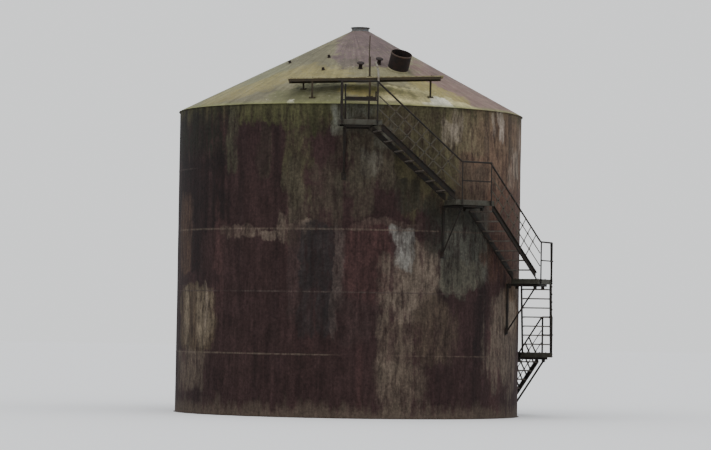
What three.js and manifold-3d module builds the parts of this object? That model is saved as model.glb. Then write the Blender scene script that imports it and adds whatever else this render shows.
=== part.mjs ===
// A vertical cylindrical storage tank of welded steel plate, with a cone roof and a stair that climbs
// round its shell over four landings. Millimetres, +Z up. The tank's axis is the Z axis and its bottom
// rests on Z = 0. Angles are in degrees round the axis, from the front (-Y) towards the right (+X).
// The roof's apex stands a little to the right of the axis: its level sections are circles with their
// centres on a leaning line, and places on the roof are measured from that line.
import * as THREE from "three";
import { mergeVertices } from "three/addons/utils/BufferGeometryUtils.js";
import Module from "manifold-3d";

const wasm = await Module();
wasm.setup();

// The gap kept between pieces that are cut to each other's shape, the root gap of a weld between two
// sheets, and how far the parts of one welded piece reach into each other.
const seatGap = 0.3;
const weldGap = 0.6;
const weldSink = 5;

const shell = {
  innerRadius: 4265,
  plate: 5,
  courseHeight: 1490,
  courses: 5,
  facets: 72,
};
const bottom = { plate: 6, chime: 40 };
const eave = { leg: 30, plate: 5 };
const roof = { slope: 27.4, plate: 4, sheets: 8, innerRadius: 190, apexToRight: 205 };
const crown = { radius: 240, height: 105, plate: 6 };
const manhole = {
  fromAxis: 2325,
  angle: 26.4,
  outerRadius: 255,
  wall: 6,
  length: 410,
  collarRadius: 290,
  collarPlate: 8,
  sunk: 40,
  facets: 48,
};
const nozzle = { stemRadius: 45, stemLength: 150, flangeRadius: 90, flangePlate: 20, sunk: 20, facets: 24 };
const nozzles = [
  { fromAxis: 2380, angle: 2.9 },
  { fromAxis: 2115, angle: 15.2 },
];

// The stair: four landings at equal angles, joined by straight flights, and a last flight to the ground.
const stair = {
  firstAngle: 1.9,
  stepAngle: 33.4,
  landings: 4,
  topHeight: 7030,
  risersBetween: 8,
  riser: 226.25,
  risersToGround: 7,
};
const deck = { innerRadius: 4400, outerRadius: 5160, length: 910, plate: 6, edge: 120, freeEnd: 460 };
const bracket = {
  spread: 290,
  bar: 50,
  strut: 40,
  arm: 60,
  drop: 1230,
  reach: 5110,
  crossDepth: 55,
  innerCross: 20,
  sunk: 40,
};
const stringer = { depth: 120, web: 5, flange: 50, flangePlate: 7, belowNosing: 80, pastLastNosing: 160 };
const tread = { depth: 250, plate: 5, lip: 35 };
const rail = {
  pipeRadius: 21,
  pipeSides: 8,
  flat: 35,
  flatPlate: 6,
  midBar: 36,
  sole: 8,
  post: 40,
  leaningPost: 30,
};
const guard = {
  landingHeight: 900,
  flightHeight: 800,
  midBelowTop: 310,
  posts: 7,
  endPost: 80,
  overhang: 20,
  inset: 20,
  endInset: 30,
  endRoom: 6,
};
const roofStep = {
  left: -300,
  right: 290,
  treadRight: 450,
  height: 575,
  treadPlate: 70,
  front: 4620,
  back: 4400,
  bar: 36,
  tallPost: 890,
  upright: 135,
};

// The walkway on the front of the roof, a little lower at its left end.
const walkway = {
  left: -1520,
  right: 2200,
  inner: 3300,
  outer: 3950,
  leftHeight: 8070,
  rightHeight: 8190,
  deckPlate: 25,
  bearer: 60,
  bearerWidth: 40,
  bearerInset: 10,
  leftOverhang: 20,
  rightOverhang: 60,
  crossBars: [-1420, -930, 440, 1900],
  crossDrop: 5,
  leg: 50,
  legTopBelow: 10,
  footWidth: 160,
  footPastLeg: 15,
  footPlate: 12,
  sunk: 60,
};
const walkwayLegs = [
  { x: -1150, y: -3335 },
  { x: -930, y: -3905 },
  { x: 440, y: -3905 },
  { x: 1900, y: -3335 },
];
const walkwayPost = {
  x: 430,
  fromEdge: 60,
  above: 2,
  width: 50,
  plate: 6,
  height: 480,
  basePast: 25,
  basePlate: 8,
  pipeRadius: 12,
  pipeInset: 8,
  pipeLean: 14,
  pipeBelow: 120,
  pipeAbove: 500,
};
const walkwayStub = { x: 640, radius: 26, sides: 12, below: 120, straight: 250, bentX: -75, bentHeight: 470 };

const shellOuterRadius = shell.innerRadius + shell.plate;
const eaveHeight = bottom.plate + shell.courses * shell.courseHeight;
const eaveRadius = shellOuterRadius + eave.leg;
const roofTangent = Math.tan(toRadians(roof.slope));
const roofRise = roof.plate / Math.cos(toRadians(roof.slope));
const roofLean = roof.apexToRight / (eaveRadius * roofTangent);
const deckRadius = (deck.innerRadius + deck.outerRadius) / 2;
const halfTurn = stair.stepAngle / 2;
const halfTurnTangent = Math.tan(toRadians(halfTurn));

// A flight runs straight from the middle of one landing's end to the middle of the next one's.
const landingEndRadius = Math.hypot(deckRadius, deck.length / 2);
const landingEndAngle = toRadians(halfTurn) - Math.atan2(deck.length / 2, deckRadius);
const flightHalfRun = landingEndRadius * Math.sin(landingEndAngle);
const flightRadius = landingEndRadius * Math.cos(landingEndAngle);
const flightHalfWidth = (deck.outerRadius - deck.innerRadius) / 2;
const going = (2 * flightHalfRun) / (stair.risersBetween - 1);
const pitch = Math.atan2(stair.riser, going);

const paint = {
  shell: new THREE.MeshStandardMaterial({ color: 0x6a5048, roughness: 0.85, metalness: 0.2 }),
  bottom: new THREE.MeshStandardMaterial({ color: 0x4a3a34, roughness: 0.9, metalness: 0.2 }),
  eave: new THREE.MeshStandardMaterial({ color: 0x4b4038, roughness: 0.85, metalness: 0.2 }),
  roof: new THREE.MeshStandardMaterial({ color: 0x9a9176, roughness: 0.9, metalness: 0.1 }),
  crown: new THREE.MeshStandardMaterial({ color: 0x7d7f7c, roughness: 0.7, metalness: 0.4 }),
  neck: new THREE.MeshStandardMaterial({ color: 0x4c3f3f, roughness: 0.8, metalness: 0.3 }),
  nozzle: new THREE.MeshStandardMaterial({ color: 0x3d3634, roughness: 0.8, metalness: 0.3 }),
  stair: new THREE.MeshStandardMaterial({ color: 0x5a4a44, roughness: 0.85, metalness: 0.3 }),
  rail: new THREE.MeshStandardMaterial({ color: 0x3a2f2e, roughness: 0.75, metalness: 0.4 }),
  walkway: new THREE.MeshStandardMaterial({ color: 0x3f3733, roughness: 0.85, metalness: 0.3 }),
  bright: new THREE.MeshStandardMaterial({ color: 0xb9b4a8, roughness: 0.6, metalness: 0.5 }),
};

function toRadians(degrees) {
  return (degrees * Math.PI) / 180;
}

// Solids and joins.

function solidFrom(geometry) {
  const bare = geometry.clone();
  bare.deleteAttribute("normal");
  bare.deleteAttribute("uv");
  const merged = mergeVertices(bare);
  const faces = new wasm.Mesh({
    numProp: 3,
    vertProperties: merged.attributes.position.array,
    triVerts: new Uint32Array(merged.index.array),
  });
  return new wasm.Manifold(faces);
}

function geometryFrom(solid) {
  const faces = solid.getMesh();
  const geometry = new THREE.BufferGeometry();
  geometry.setAttribute("position", new THREE.BufferAttribute(faces.vertProperties, 3));
  geometry.setIndex(new THREE.BufferAttribute(faces.triVerts, 1));
  geometry.computeVertexNormals();
  return geometry;
}

function joined(geometries) {
  return geometries.map(solidFrom).reduce((whole, next) => whole.add(next));
}

function mesh(name, geometry, material) {
  const made = new THREE.Mesh(geometry, material);
  made.name = name;
  return made;
}

// Basic shapes, each made where it stands.

// A closed outline of [distance from the axis, height] pairs, turned round the Z axis.
function turned(outline, facets) {
  const points = outline.map(([r, z]) => new THREE.Vector2(r, z));
  return new THREE.LatheGeometry(points, facets).rotateX(Math.PI / 2);
}

function closedRing(outline, facets) {
  return turned([...outline, outline[0]], facets);
}

// An outline of [x, z] pairs, extruded along Y from y0 to y1.
function profileAlongY(outline, y0, y1) {
  const shape = new THREE.Shape(outline.map(([x, z]) => new THREE.Vector2(x, z)));
  const made = new THREE.ExtrudeGeometry(shape, { depth: y1 - y0, bevelEnabled: false });
  return made.rotateX(Math.PI / 2).translate(0, y1, 0);
}

// An outline of [x, y] pairs, extruded upwards from z0 to z1, with an optional hole.
function plateUp(outline, z0, z1, hole = null) {
  const shape = new THREE.Shape(outline.map(([x, y]) => new THREE.Vector2(x, y)));
  if (hole) {
    shape.holes.push(new THREE.Path(hole.map(([x, y]) => new THREE.Vector2(x, y))));
  }
  return new THREE.ExtrudeGeometry(shape, { depth: z1 - z0, bevelEnabled: false }).translate(0, 0, z0);
}

function block(x0, x1, y0, y1, z0, z1) {
  const box = new THREE.BoxGeometry(x1 - x0, y1 - y0, z1 - z0);
  return box.translate((x0 + x1) / 2, (y0 + y1) / 2, (z0 + z1) / 2);
}

// A bar between two points, with its width across the XZ plane and its thickness along Y.
function barAcross(from, to, width, thickness, y) {
  const length = Math.hypot(to[0] - from[0], to[1] - from[1]);
  const tilt = Math.atan2(to[1] - from[1], to[0] - from[0]);
  const bar = new THREE.BoxGeometry(length, thickness, width).rotateY(-tilt);
  return bar.translate((from[0] + to[0]) / 2, y, (from[1] + to[1]) / 2);
}

function pipeBetween(from, to, radius, sides) {
  const start = new THREE.Vector3(...from);
  const span = new THREE.Vector3(...to).sub(start);
  const pipe = new THREE.CylinderGeometry(radius, radius, span.length(), sides);
  const turn = new THREE.Quaternion().setFromUnitVectors(
    new THREE.Vector3(0, 1, 0),
    span.clone().normalize(),
  );
  pipe.applyQuaternion(turn);
  const middle = start.addScaledVector(span, 0.5);
  return pipe.translate(middle.x, middle.y, middle.z);
}

// The roof's outer face is this high at a distance from its leaning middle line.
function roofHeight(fromAxis) {
  return eaveHeight + (eaveRadius - fromAxis) * roofTangent + roofRise;
}

// The roof's level section at this height has its centre this far to the right of the tank's axis.
function roofCentre(height) {
  return roofLean * (height - eaveHeight);
}

// The height of the roof's outer face at a point: the section's centre moves with the height itself.
function roofHeightAt(x, y) {
  const passes = 6;
  let height = roofHeight(Math.hypot(x, y));
  for (let pass = 0; pass < passes; pass += 1) {
    height = roofHeight(Math.hypot(x - roofCentre(height), y));
  }
  return height;
}

// An upright cone's shape slid to the right in step with its height above the eave.
function leaned(geometry) {
  const slide = new THREE.Matrix4().makeShear(0, 0, 0, 0, roofLean, 0);
  return geometry.applyMatrix4(slide).translate(-roofLean * eaveHeight, 0, 0);
}

// Cutters: the space that the shell and the roof take up, with the seat gap round them.

function shellSpace() {
  const radius = shellOuterRadius + seatGap;
  return turned([[0, 0], [radius, 0], [radius, eaveHeight], [0, eaveHeight]], shell.facets);
}

function roofSpace() {
  const outline = [
    [0, eaveHeight],
    [eaveRadius, eaveHeight],
    [eaveRadius, roofHeight(eaveRadius) + seatGap],
    [0, roofHeight(0) + seatGap],
  ];
  return leaned(turned(outline, shell.facets));
}

// The shell: a bottom plate, five courses and the angle round the eave.

function bottomPlate() {
  const radius = shellOuterRadius + bottom.chime;
  return turned([[0, 0], [radius, 0], [radius, bottom.plate], [0, bottom.plate]], shell.facets);
}

function shellCourse(number) {
  const low = bottom.plate + (number - 1) * shell.courseHeight;
  const high = low + shell.courseHeight;
  const outline = [
    [shell.innerRadius, low],
    [shellOuterRadius, low],
    [shellOuterRadius, high],
    [shell.innerRadius, high],
  ];
  return closedRing(outline, shell.facets);
}

function eaveAngle() {
  const inner = shellOuterRadius + seatGap;
  const outline = [
    [inner, eaveHeight - eave.leg],
    [inner + eave.plate, eaveHeight - eave.leg],
    [inner + eave.plate, eaveHeight - eave.plate],
    [eaveRadius, eaveHeight - eave.plate],
    [eaveRadius, eaveHeight],
    [inner, eaveHeight],
  ];
  return closedRing(outline, shell.facets);
}

// The roof: sheets like slices of a cone, which meet under a flat crown cap.

function roofSheet(number) {
  const under = (r) => roofHeight(r) - roofRise + seatGap;
  const outline = [
    [roof.innerRadius, under(roof.innerRadius)],
    [eaveRadius, under(eaveRadius)],
    [eaveRadius, roofHeight(eaveRadius)],
    [roof.innerRadius, roofHeight(roof.innerRadius)],
  ];
  const whole = solidFrom(closedRing(outline, shell.facets));
  const width = toRadians(360 / roof.sheets);
  const start = (number - 1) * width;
  const middle = start + width / 2;
  const tip = weldGap / 2 / Math.sin(width / 2);
  const reach = 2 * eaveRadius;
  const corner = (angle) => [
    tip * Math.sin(middle) + reach * Math.sin(angle),
    -tip * Math.cos(middle) - reach * Math.cos(angle),
  ];
  const slice = [
    [tip * Math.sin(middle), -tip * Math.cos(middle)],
    corner(start),
    corner(start + width),
  ];
  return leaned(geometryFrom(whole.intersect(solidFrom(plateUp(slice, 0, 2 * eaveHeight)))));
}

function crownCap() {
  const seat = roofHeight(crown.radius) + seatGap;
  const innerRadius = crown.radius - crown.plate;
  const innerSeat = roofHeight(innerRadius) + seatGap;
  const top = seat + crown.height;
  const outline = [
    [0, top - crown.plate],
    [innerRadius, top - crown.plate],
    [innerRadius, innerSeat],
    [crown.radius, seat],
    [crown.radius, top],
    [0, top],
  ];
  return leaned(turned(outline, shell.facets));
}

// Things that stand square to the roof are made upright at the origin and then tilted and moved.
function standOnRoof(geometry, fromAxis, angle) {
  const height = roofHeight(fromAxis);
  return geometry
    .rotateX(toRadians(roof.slope))
    .translate(0, -fromAxis, height)
    .rotateZ(toRadians(angle))
    .translate(roofCentre(height), 0, 0);
}

function manholeNeck() {
  const inner = manhole.outerRadius - manhole.wall;
  const outline = [
    [inner, -manhole.sunk],
    [manhole.collarRadius, -manhole.sunk],
    [manhole.collarRadius, manhole.collarPlate],
    [manhole.outerRadius, manhole.collarPlate],
    [manhole.outerRadius, manhole.length],
    [inner, manhole.length],
  ];
  const neck = standOnRoof(closedRing(outline, manhole.facets), manhole.fromAxis, manhole.angle);
  return solidFrom(neck).subtract(solidFrom(roofSpace()));
}

function manholeBore() {
  const inner = manhole.outerRadius - manhole.wall;
  const reach = manhole.length;
  const bore = turned([[0, -reach], [inner, -reach], [inner, reach], [0, reach]], manhole.facets);
  return standOnRoof(bore, manhole.fromAxis, manhole.angle);
}

function roofNozzle({ fromAxis, angle }) {
  const flangeLow = nozzle.stemLength - nozzle.flangePlate;
  const outline = [
    [0, -nozzle.sunk],
    [nozzle.stemRadius, -nozzle.sunk],
    [nozzle.stemRadius, flangeLow],
    [nozzle.flangeRadius, flangeLow],
    [nozzle.flangeRadius, nozzle.stemLength],
    [0, nozzle.stemLength],
  ];
  const stub = standOnRoof(turned(outline, nozzle.facets), fromAxis, angle);
  return solidFrom(stub).subtract(solidFrom(roofSpace()));
}

// Landings, made at the front and turned to their place by their group.

function landingHeight(number) {
  return stair.topHeight - (number - 1) * stair.risersBetween * stair.riser;
}

function landingAngle(number) {
  return stair.firstAngle + (number - 1) * stair.stepAngle;
}

function halfLengthAt(radius) {
  return deck.length / 2 + (radius - deckRadius) * halfTurnTangent;
}

// The deck's outline: its ends lie square to the flights. The top landing's left end is free.
function deckOutline(number, inset) {
  const inner = deck.innerRadius + inset;
  const outer = deck.outerRadius - inset;
  const slant = inset / Math.cos(toRadians(halfTurn));
  const innerHalf = halfLengthAt(inner) - slant;
  const outerHalf = halfLengthAt(outer) - slant;
  const innerLeft = number === 1 ? deck.freeEnd - inset : innerHalf;
  const outerLeft = number === 1 ? deck.freeEnd - inset : outerHalf;
  return [
    [-outerLeft, -outer],
    [outerHalf, -outer],
    [innerHalf, -inner],
    [-innerLeft, -inner],
  ];
}

function landingDeck(number) {
  const top = landingHeight(number);
  const inset = deck.plate;
  const edges = plateUp(deckOutline(number, 0), top - deck.edge, top, deckOutline(number, inset));
  const plate = plateUp(deckOutline(number, inset / 2), top - deck.plate, top);
  return joined([edges, plate]);
}

function landingBracket(number) {
  const { spread, reach } = bracket;
  const top = landingHeight(number) - deck.edge - seatGap;
  const half = bracket.bar / 2;
  const inside = shell.innerRadius;
  const legFace = shellOuterRadius + bracket.bar;
  const pieces = [-spread, spread].map((x) =>
    block(x - half, x + half, -reach, -inside, top - bracket.arm, top),
  );
  // Only the left arm has a leg down the shell and a strut.
  const low = top - bracket.drop;
  pieces.push(block(-spread - half, -spread + half, -legFace, -inside + bracket.sunk, low, top));
  const foot = [-legFace + half, low + half];
  const head = [-reach + half, top - half];
  const strut = barAcross(foot, head, bracket.strut, bracket.strut, 0);
  pieces.push(strut.rotateZ(Math.PI / 2).translate(-spread, 0, 0));
  const crossLow = top - bracket.crossDepth;
  pieces.push(block(-spread, spread, -reach, -reach + bracket.bar, crossLow, top));
  pieces.push(block(-spread, spread, -legFace - bracket.innerCross, -legFace + half, crossLow, top));
  const space = shellSpace().rotateZ(-toRadians(landingAngle(number)));
  return joined(pieces).subtract(solidFrom(space));
}

const kinkBeforeFlight = (guard.landingHeight - guard.flightHeight) / Math.tan(pitch);
const kinkAfterFlight = going - kinkBeforeFlight;
const guardRadius = deck.outerRadius + seatGap + rail.post / 2;

function midBarHeights(floor) {
  const middle = floor + guard.landingHeight / 2;
  return [middle - rail.midBar / 2, middle + rail.midBar / 2];
}

function landingGuard(number) {
  const floor = landingHeight(number);
  const top = floor + guard.landingHeight;
  const y = -guardRadius;
  const half = rail.post / 2;
  const corner = halfLengthAt(deck.outerRadius);
  const left = number === 1 ? -deck.freeEnd + guard.endPost : -corner + kinkAfterFlight;
  const right = corner - kinkBeforeFlight;
  const railLeft = number === 1 ? -deck.freeEnd - guard.overhang : left;
  const pieces = [left, right].map((x) =>
    block(x - half, x + half, y - half, y + half, floor - deck.edge, top),
  );
  pieces.push(pipeBetween([railLeft, y, top], [right, y, top], rail.pipeRadius, rail.pipeSides));
  const [low, high] = midBarHeights(floor);
  pieces.push(block(left, right, y - rail.flatPlate / 2, y + rail.flatPlate / 2, low, high));
  return joined(pieces);
}

function endGuard() {
  const floor = landingHeight(1) + seatGap;
  const top = floor + guard.landingHeight;
  const half = rail.post / 2;
  const x = -deck.freeEnd + guard.endPost;
  const inner = -deck.innerRadius - rail.post;
  const outer = -deck.outerRadius + guard.endInset;
  const pieces = [inner, outer].map((y) => block(x - half, x + half, y - half, y + half, floor, top));
  pieces.push(pipeBetween([x, inner, top], [x, outer, top], rail.pipeRadius, rail.pipeSides));
  const [low, high] = midBarHeights(floor);
  pieces.push(block(x - rail.flatPlate / 2, x + rail.flatPlate / 2, outer, inner, low, high));
  return joined(pieces);
}

function stepToRoof() {
  const floor = landingHeight(1) + seatGap;
  const s = roofStep;
  const half = s.bar / 2;
  const treadTop = floor + s.height;
  const treadLow = treadTop - s.treadPlate;
  const legBar = (x, y, high) => block(x - half, x + half, y - half, y + half, floor, high);
  const front = -s.front + half;
  const back = -s.back - half;
  const pieces = [
    block(s.left, s.treadRight, -s.front, -s.back, treadLow, treadTop),
    legBar(s.left + half, front, treadTop),
    legBar(s.left + half, back, floor + s.tallPost),
    legBar(s.right - half, front, treadTop),
    legBar(s.right - half, back, treadTop),
    block(s.treadRight - s.bar, s.treadRight, -s.front, -s.front + s.bar, treadLow, treadTop + s.upright),
  ];
  return joined(pieces);
}

// Flights, made at the front, running down to the right, and turned to their place by their group.

function flightSteps(number) {
  return number === stair.landings ? stair.risersToGround : stair.risersBetween;
}

function flightRise(number) {
  return number === stair.landings ? landingHeight(number) / stair.risersToGround : stair.riser;
}

function flight(number) {
  const risers = flightSteps(number);
  const rise = flightRise(number);
  const slope = rise / going;
  const tilt = Math.atan(slope);
  const top = landingHeight(number);
  const start = -flightHalfRun + seatGap;
  const end = -flightHalfRun + (risers - 1) * going - seatGap;
  const toGround = number === stair.landings;
  const foot = toGround ? end + stringer.pastLastNosing : end;
  const lineAt = (x, drop) => top - stringer.belowNosing - drop - (x + flightHalfRun) * slope;
  const depth = stringer.depth / Math.cos(tilt);
  const flange = stringer.flangePlate / Math.cos(tilt);
  const strip = (high, low) => [
    [start, lineAt(start, low)],
    [foot, lineAt(foot, low)],
    [foot, lineAt(foot, high)],
    [start, lineAt(start, high)],
  ];
  const pieces = [];
  for (const side of [-1, 1]) {
    const web = flightHalfWidth - stringer.flange;
    const [y0, y1] = [side * web, side * (web - stringer.web)].sort((a, b) => a - b);
    const [f0, f1] = [side * (web - stringer.web), side * flightHalfWidth].sort((a, b) => a - b);
    pieces.push(profileAlongY(strip(0, depth), -flightRadius + y0, -flightRadius + y1));
    pieces.push(profileAlongY(strip(0, flange), -flightRadius + f0, -flightRadius + f1));
    pieces.push(profileAlongY(strip(depth - flange, depth), -flightRadius + f0, -flightRadius + f1));
  }
  const treadHalf = flightHalfWidth - stringer.flange - stringer.web / 2;
  for (let step = 1; step < risers; step += 1) {
    const nose = -flightHalfRun + step * going;
    const back = nose - tread.depth;
    const z = top - step * rise;
    const section = [
      [back, z - tread.lip],
      [back + tread.plate, z - tread.lip],
      [back + tread.plate, z - tread.plate],
      [nose - tread.plate, z - tread.plate],
      [nose - tread.plate, z - tread.lip],
      [nose, z - tread.lip],
      [nose, z],
      [back, z],
    ];
    pieces.push(profileAlongY(section, -flightRadius - treadHalf, -flightRadius + treadHalf));
  }
  // The last flight's stringers are cut level where they stand on the ground.
  const outside = 2 * deck.outerRadius;
  const ground = block(-outside, outside, -outside, outside, -stringer.depth * 2, 0);
  return joined(pieces).subtract(solidFrom(ground));
}

function flightGuard(number) {
  const risers = flightSteps(number);
  const slope = flightRise(number) / going;
  const tilt = Math.atan(slope);
  const top = landingHeight(number);
  const toGround = number === stair.landings;
  const y = -flightRadius - flightHalfWidth + guard.inset;
  const run = (risers - 1) * going;
  const endRoom = rail.post / 2 + rail.pipeRadius * Math.sin(tilt) + guard.endRoom;
  const first = -flightHalfRun - kinkBeforeFlight + endRoom;
  const last = -flightHalfRun + run + (toGround ? -guard.inset : kinkAfterFlight - endRoom);
  const lineAt = (x, above) => top - (x + flightHalfRun) * slope + above;
  const soleMiddle = -stringer.belowNosing + (seatGap + rail.sole / 2) / Math.cos(tilt);
  const slopeBar = (x0, x1, above, width, thickness) =>
    barAcross([x0, lineAt(x0, above)], [x1, lineAt(x1, above)], width, thickness, y);
  const footFrom = -flightHalfRun + guard.endInset;
  const footTo = -flightHalfRun + run - guard.endInset;
  const handrail = guard.flightHeight;
  const mids = [handrail - guard.midBelowTop, handrail - 2 * guard.midBelowTop];
  const pieces = [
    slopeBar(footFrom, footTo, soleMiddle, rail.sole, rail.midBar),
    pipeBetween(
      [first, y, lineAt(first, handrail)],
      [last, y, lineAt(last, handrail)],
      rail.pipeRadius,
      rail.pipeSides,
    ),
    ...mids.map((above) => slopeBar(first, last, above, rail.flat, rail.flatPlate)),
  ];
  // The posts stand square to the slope, from the flat bar on the stringer up to the handrail.
  const length = (handrail - soleMiddle) * Math.cos(tilt);
  const lean = [Math.sin(tilt) * length, Math.cos(tilt) * length];
  const room = footTo - footFrom - lean[0] - 2 * guard.endInset;
  for (let post = 0; post < guard.posts; post += 1) {
    const x = footFrom + guard.endInset + (post * room) / (guard.posts - 1);
    const z = lineAt(x, soleMiddle);
    pieces.push(barAcross([x, z], [x + lean[0], z + lean[1]], rail.leaningPost, rail.leaningPost, y));
  }
  return joined(pieces);
}

// The walkway on the roof.

function walkwayHeight(x) {
  const share = (x - walkway.left) / (walkway.right - walkway.left);
  return walkway.leftHeight + share * (walkway.rightHeight - walkway.leftHeight);
}

function alongWalkway(x0, x1, drop0, drop1) {
  return [
    [x0, walkwayHeight(x0) - drop1],
    [x1, walkwayHeight(x1) - drop1],
    [x1, walkwayHeight(x1) - drop0],
    [x0, walkwayHeight(x0) - drop0],
  ];
}

function walkwayDeck() {
  const outline = alongWalkway(walkway.left, walkway.right, 0, walkway.deckPlate);
  return profileAlongY(outline, -walkway.outer, -walkway.inner);
}

function walkwayFrame() {
  const w = walkway;
  const high = w.deckPlate + seatGap;
  const low = high + w.bearer;
  const outline = alongWalkway(w.left + w.leftOverhang, w.right - w.rightOverhang, high, low);
  const front = -w.outer + w.bearerInset;
  const back = -w.inner - w.bearerInset;
  const pieces = [
    profileAlongY(outline, front, front + w.bearerWidth),
    profileAlongY(outline, back - w.bearerWidth, back),
  ];
  for (const x of w.crossBars) {
    const cross = alongWalkway(x - w.bearerWidth / 2, x + w.bearerWidth / 2, high + w.crossDrop, low);
    pieces.push(profileAlongY(cross, front + weldSink, back - weldSink));
  }
  for (const { x, y } of walkwayLegs) {
    const half = w.leg / 2;
    const roofHere = roofHeightAt(x, y);
    const legTop = walkwayHeight(x) - high - w.legTopBelow;
    pieces.push(block(x - half, x + half, y - half, y + half, roofHere - w.sunk, legTop));
    const footHalf = w.footWidth / 2;
    const footDepth = half + w.footPastLeg;
    const foot = block(-footHalf, footHalf, -footDepth, footDepth, -w.sunk / 2, w.footPlate);
    foot.rotateX(toRadians(roof.slope)).rotateZ(Math.atan2(x, -y)).translate(x, y, roofHere);
    pieces.push(foot);
  }
  return joined(pieces).subtract(solidFrom(roofSpace()));
}

function brokenPost() {
  const p = walkwayPost;
  const floor = walkwayHeight(p.x) + p.above;
  const left = p.x - p.width / 2;
  const front = -walkway.outer + p.fromEdge - p.width / 2;
  const [right, back] = [left + p.width, front + p.width];
  const top = floor + p.height;
  const past = p.basePast;
  const pipeY = front + p.pipeInset;
  const pipeLow = [left + p.pipeInset, pipeY, top - p.pipeBelow];
  const pipeHigh = [left + p.pipeInset + p.pipeLean, pipeY, top + p.pipeAbove];
  const pieces = [
    block(left, right, front, front + p.plate, floor, top),
    block(left, left + p.plate, front, back, floor, top),
    block(left - past, right + past, front - past, back + past, floor, floor + p.basePlate),
    pipeBetween(pipeLow, pipeHigh, p.pipeRadius, rail.pipeSides),
  ];
  return joined(pieces);
}

function bentStub() {
  const p = walkwayStub;
  const y = -walkway.outer - seatGap - p.radius;
  const low = walkwayHeight(p.x) - p.below;
  const bend = low + p.straight;
  const end = [p.x + p.bentX, y, low + p.bentHeight];
  const pieces = [
    pipeBetween([p.x, y, low], [p.x, y, bend + weldSink], p.radius, p.sides),
    pipeBetween([p.x, y, bend - weldSink], end, p.radius, p.sides),
  ];
  return joined(pieces);
}

// The assembly.

const tank = new THREE.Group();

tank.add(mesh("bottom_plate", bottomPlate(), paint.bottom));
for (let number = 1; number <= shell.courses; number += 1) {
  tank.add(mesh("shell_course_" + number, shellCourse(number), paint.shell));
}
tank.add(mesh("eave_angle", eaveAngle(), paint.eave));

const holedSheet = 1 + Math.floor(manhole.angle / (360 / roof.sheets));
for (let number = 1; number <= roof.sheets; number += 1) {
  let sheet = roofSheet(number);
  if (number === holedSheet) {
    sheet = geometryFrom(solidFrom(sheet).subtract(solidFrom(manholeBore())));
  }
  tank.add(mesh("roof_sheet_" + number, sheet, paint.roof));
}
tank.add(mesh("crown_cap", crownCap(), paint.crown));
tank.add(mesh("manhole_neck", geometryFrom(manholeNeck()), paint.neck));
nozzles.forEach((place, index) => {
  tank.add(mesh("roof_nozzle_" + (index + 1), geometryFrom(roofNozzle(place)), paint.nozzle));
});

tank.add(mesh("walkway_deck", walkwayDeck(), paint.walkway));
tank.add(mesh("walkway_frame", geometryFrom(walkwayFrame()), paint.walkway));
tank.add(mesh("walkway_post", geometryFrom(brokenPost()), paint.walkway));
tank.add(mesh("walkway_stub", geometryFrom(bentStub()), paint.bright));

for (let number = 1; number <= stair.landings; number += 1) {
  const landing = new THREE.Group();
  landing.rotation.z = toRadians(landingAngle(number));
  landing.add(mesh("landing_" + number, geometryFrom(landingDeck(number)), paint.stair));
  landing.add(mesh("landing_bracket_" + number, geometryFrom(landingBracket(number)), paint.stair));
  landing.add(mesh("landing_guard_" + number, geometryFrom(landingGuard(number)), paint.rail));
  if (number === 1) {
    landing.add(mesh("landing_end_guard", geometryFrom(endGuard()), paint.rail));
    landing.add(mesh("roof_step", geometryFrom(stepToRoof()), paint.rail));
  }
  tank.add(landing);

  const steps = new THREE.Group();
  steps.rotation.z = toRadians(landingAngle(number) + halfTurn);
  steps.add(mesh("flight_" + number, geometryFrom(flight(number)), paint.stair));
  steps.add(mesh("flight_guard_" + number, geometryFrom(flightGuard(number)), paint.rail));
  tank.add(steps);
}

export default tank;
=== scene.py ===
import math
import bmesh
import bpy
from mathutils import Matrix, Vector


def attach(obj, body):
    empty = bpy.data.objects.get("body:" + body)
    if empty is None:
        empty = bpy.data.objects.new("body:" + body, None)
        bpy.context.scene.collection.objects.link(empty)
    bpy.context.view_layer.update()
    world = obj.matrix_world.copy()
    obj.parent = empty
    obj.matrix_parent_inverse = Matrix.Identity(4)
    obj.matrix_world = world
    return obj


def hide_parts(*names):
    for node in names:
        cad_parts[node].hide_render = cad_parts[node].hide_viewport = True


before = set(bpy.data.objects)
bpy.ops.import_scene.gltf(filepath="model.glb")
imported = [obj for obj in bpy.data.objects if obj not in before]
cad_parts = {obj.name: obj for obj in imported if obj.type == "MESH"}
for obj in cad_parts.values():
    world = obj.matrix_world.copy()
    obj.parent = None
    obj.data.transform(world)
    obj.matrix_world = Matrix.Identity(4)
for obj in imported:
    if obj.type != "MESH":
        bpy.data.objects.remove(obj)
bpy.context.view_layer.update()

deg = math.radians

# Sizes in metres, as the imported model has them. Angles run round the axis, from the front (-Y) to the
# right (+X).
tank = {"outer": 4.270, "plate": 0.005, "foot": 0.006, "course": 1.490, "courses": 5, "eave": 7.456,
        "eaveRadius": 4.300, "slope": deg(27.4), "roofPlate": 0.004, "crownHole": 0.190, "sheets": 8,
        "apexToRight": 0.205, "steps": 288}
stair = {"landings": 4, "first": 1.9, "between": 33.4, "top": 7.030, "riser": 0.22625, "risers": 8,
         "lastRisers": 7, "flightRadius": 4.7089, "halfRun": 0.9381, "halfWidth": 0.380}
stair["going"] = 2 * stair["halfRun"] / (stair["risers"] - 1)
stair["lowest"] = stair["top"] - (stair["landings"] - 1) * stair["risers"] * stair["riser"]
seatGap = 0.0003  # left where one piece sits on another


# Small helpers for modelling

def alone(piece):  # this object is the only one selected
    bpy.ops.object.select_all(action="DESELECT")
    piece.select_set(True)
    bpy.context.view_layer.objects.active = piece


def openUp(piece):  # into edit mode, nothing selected
    alone(piece)
    bpy.ops.object.mode_set(mode="EDIT")
    bpy.ops.mesh.select_mode(type="VERT")
    bpy.ops.mesh.select_all(action="DESELECT")


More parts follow.
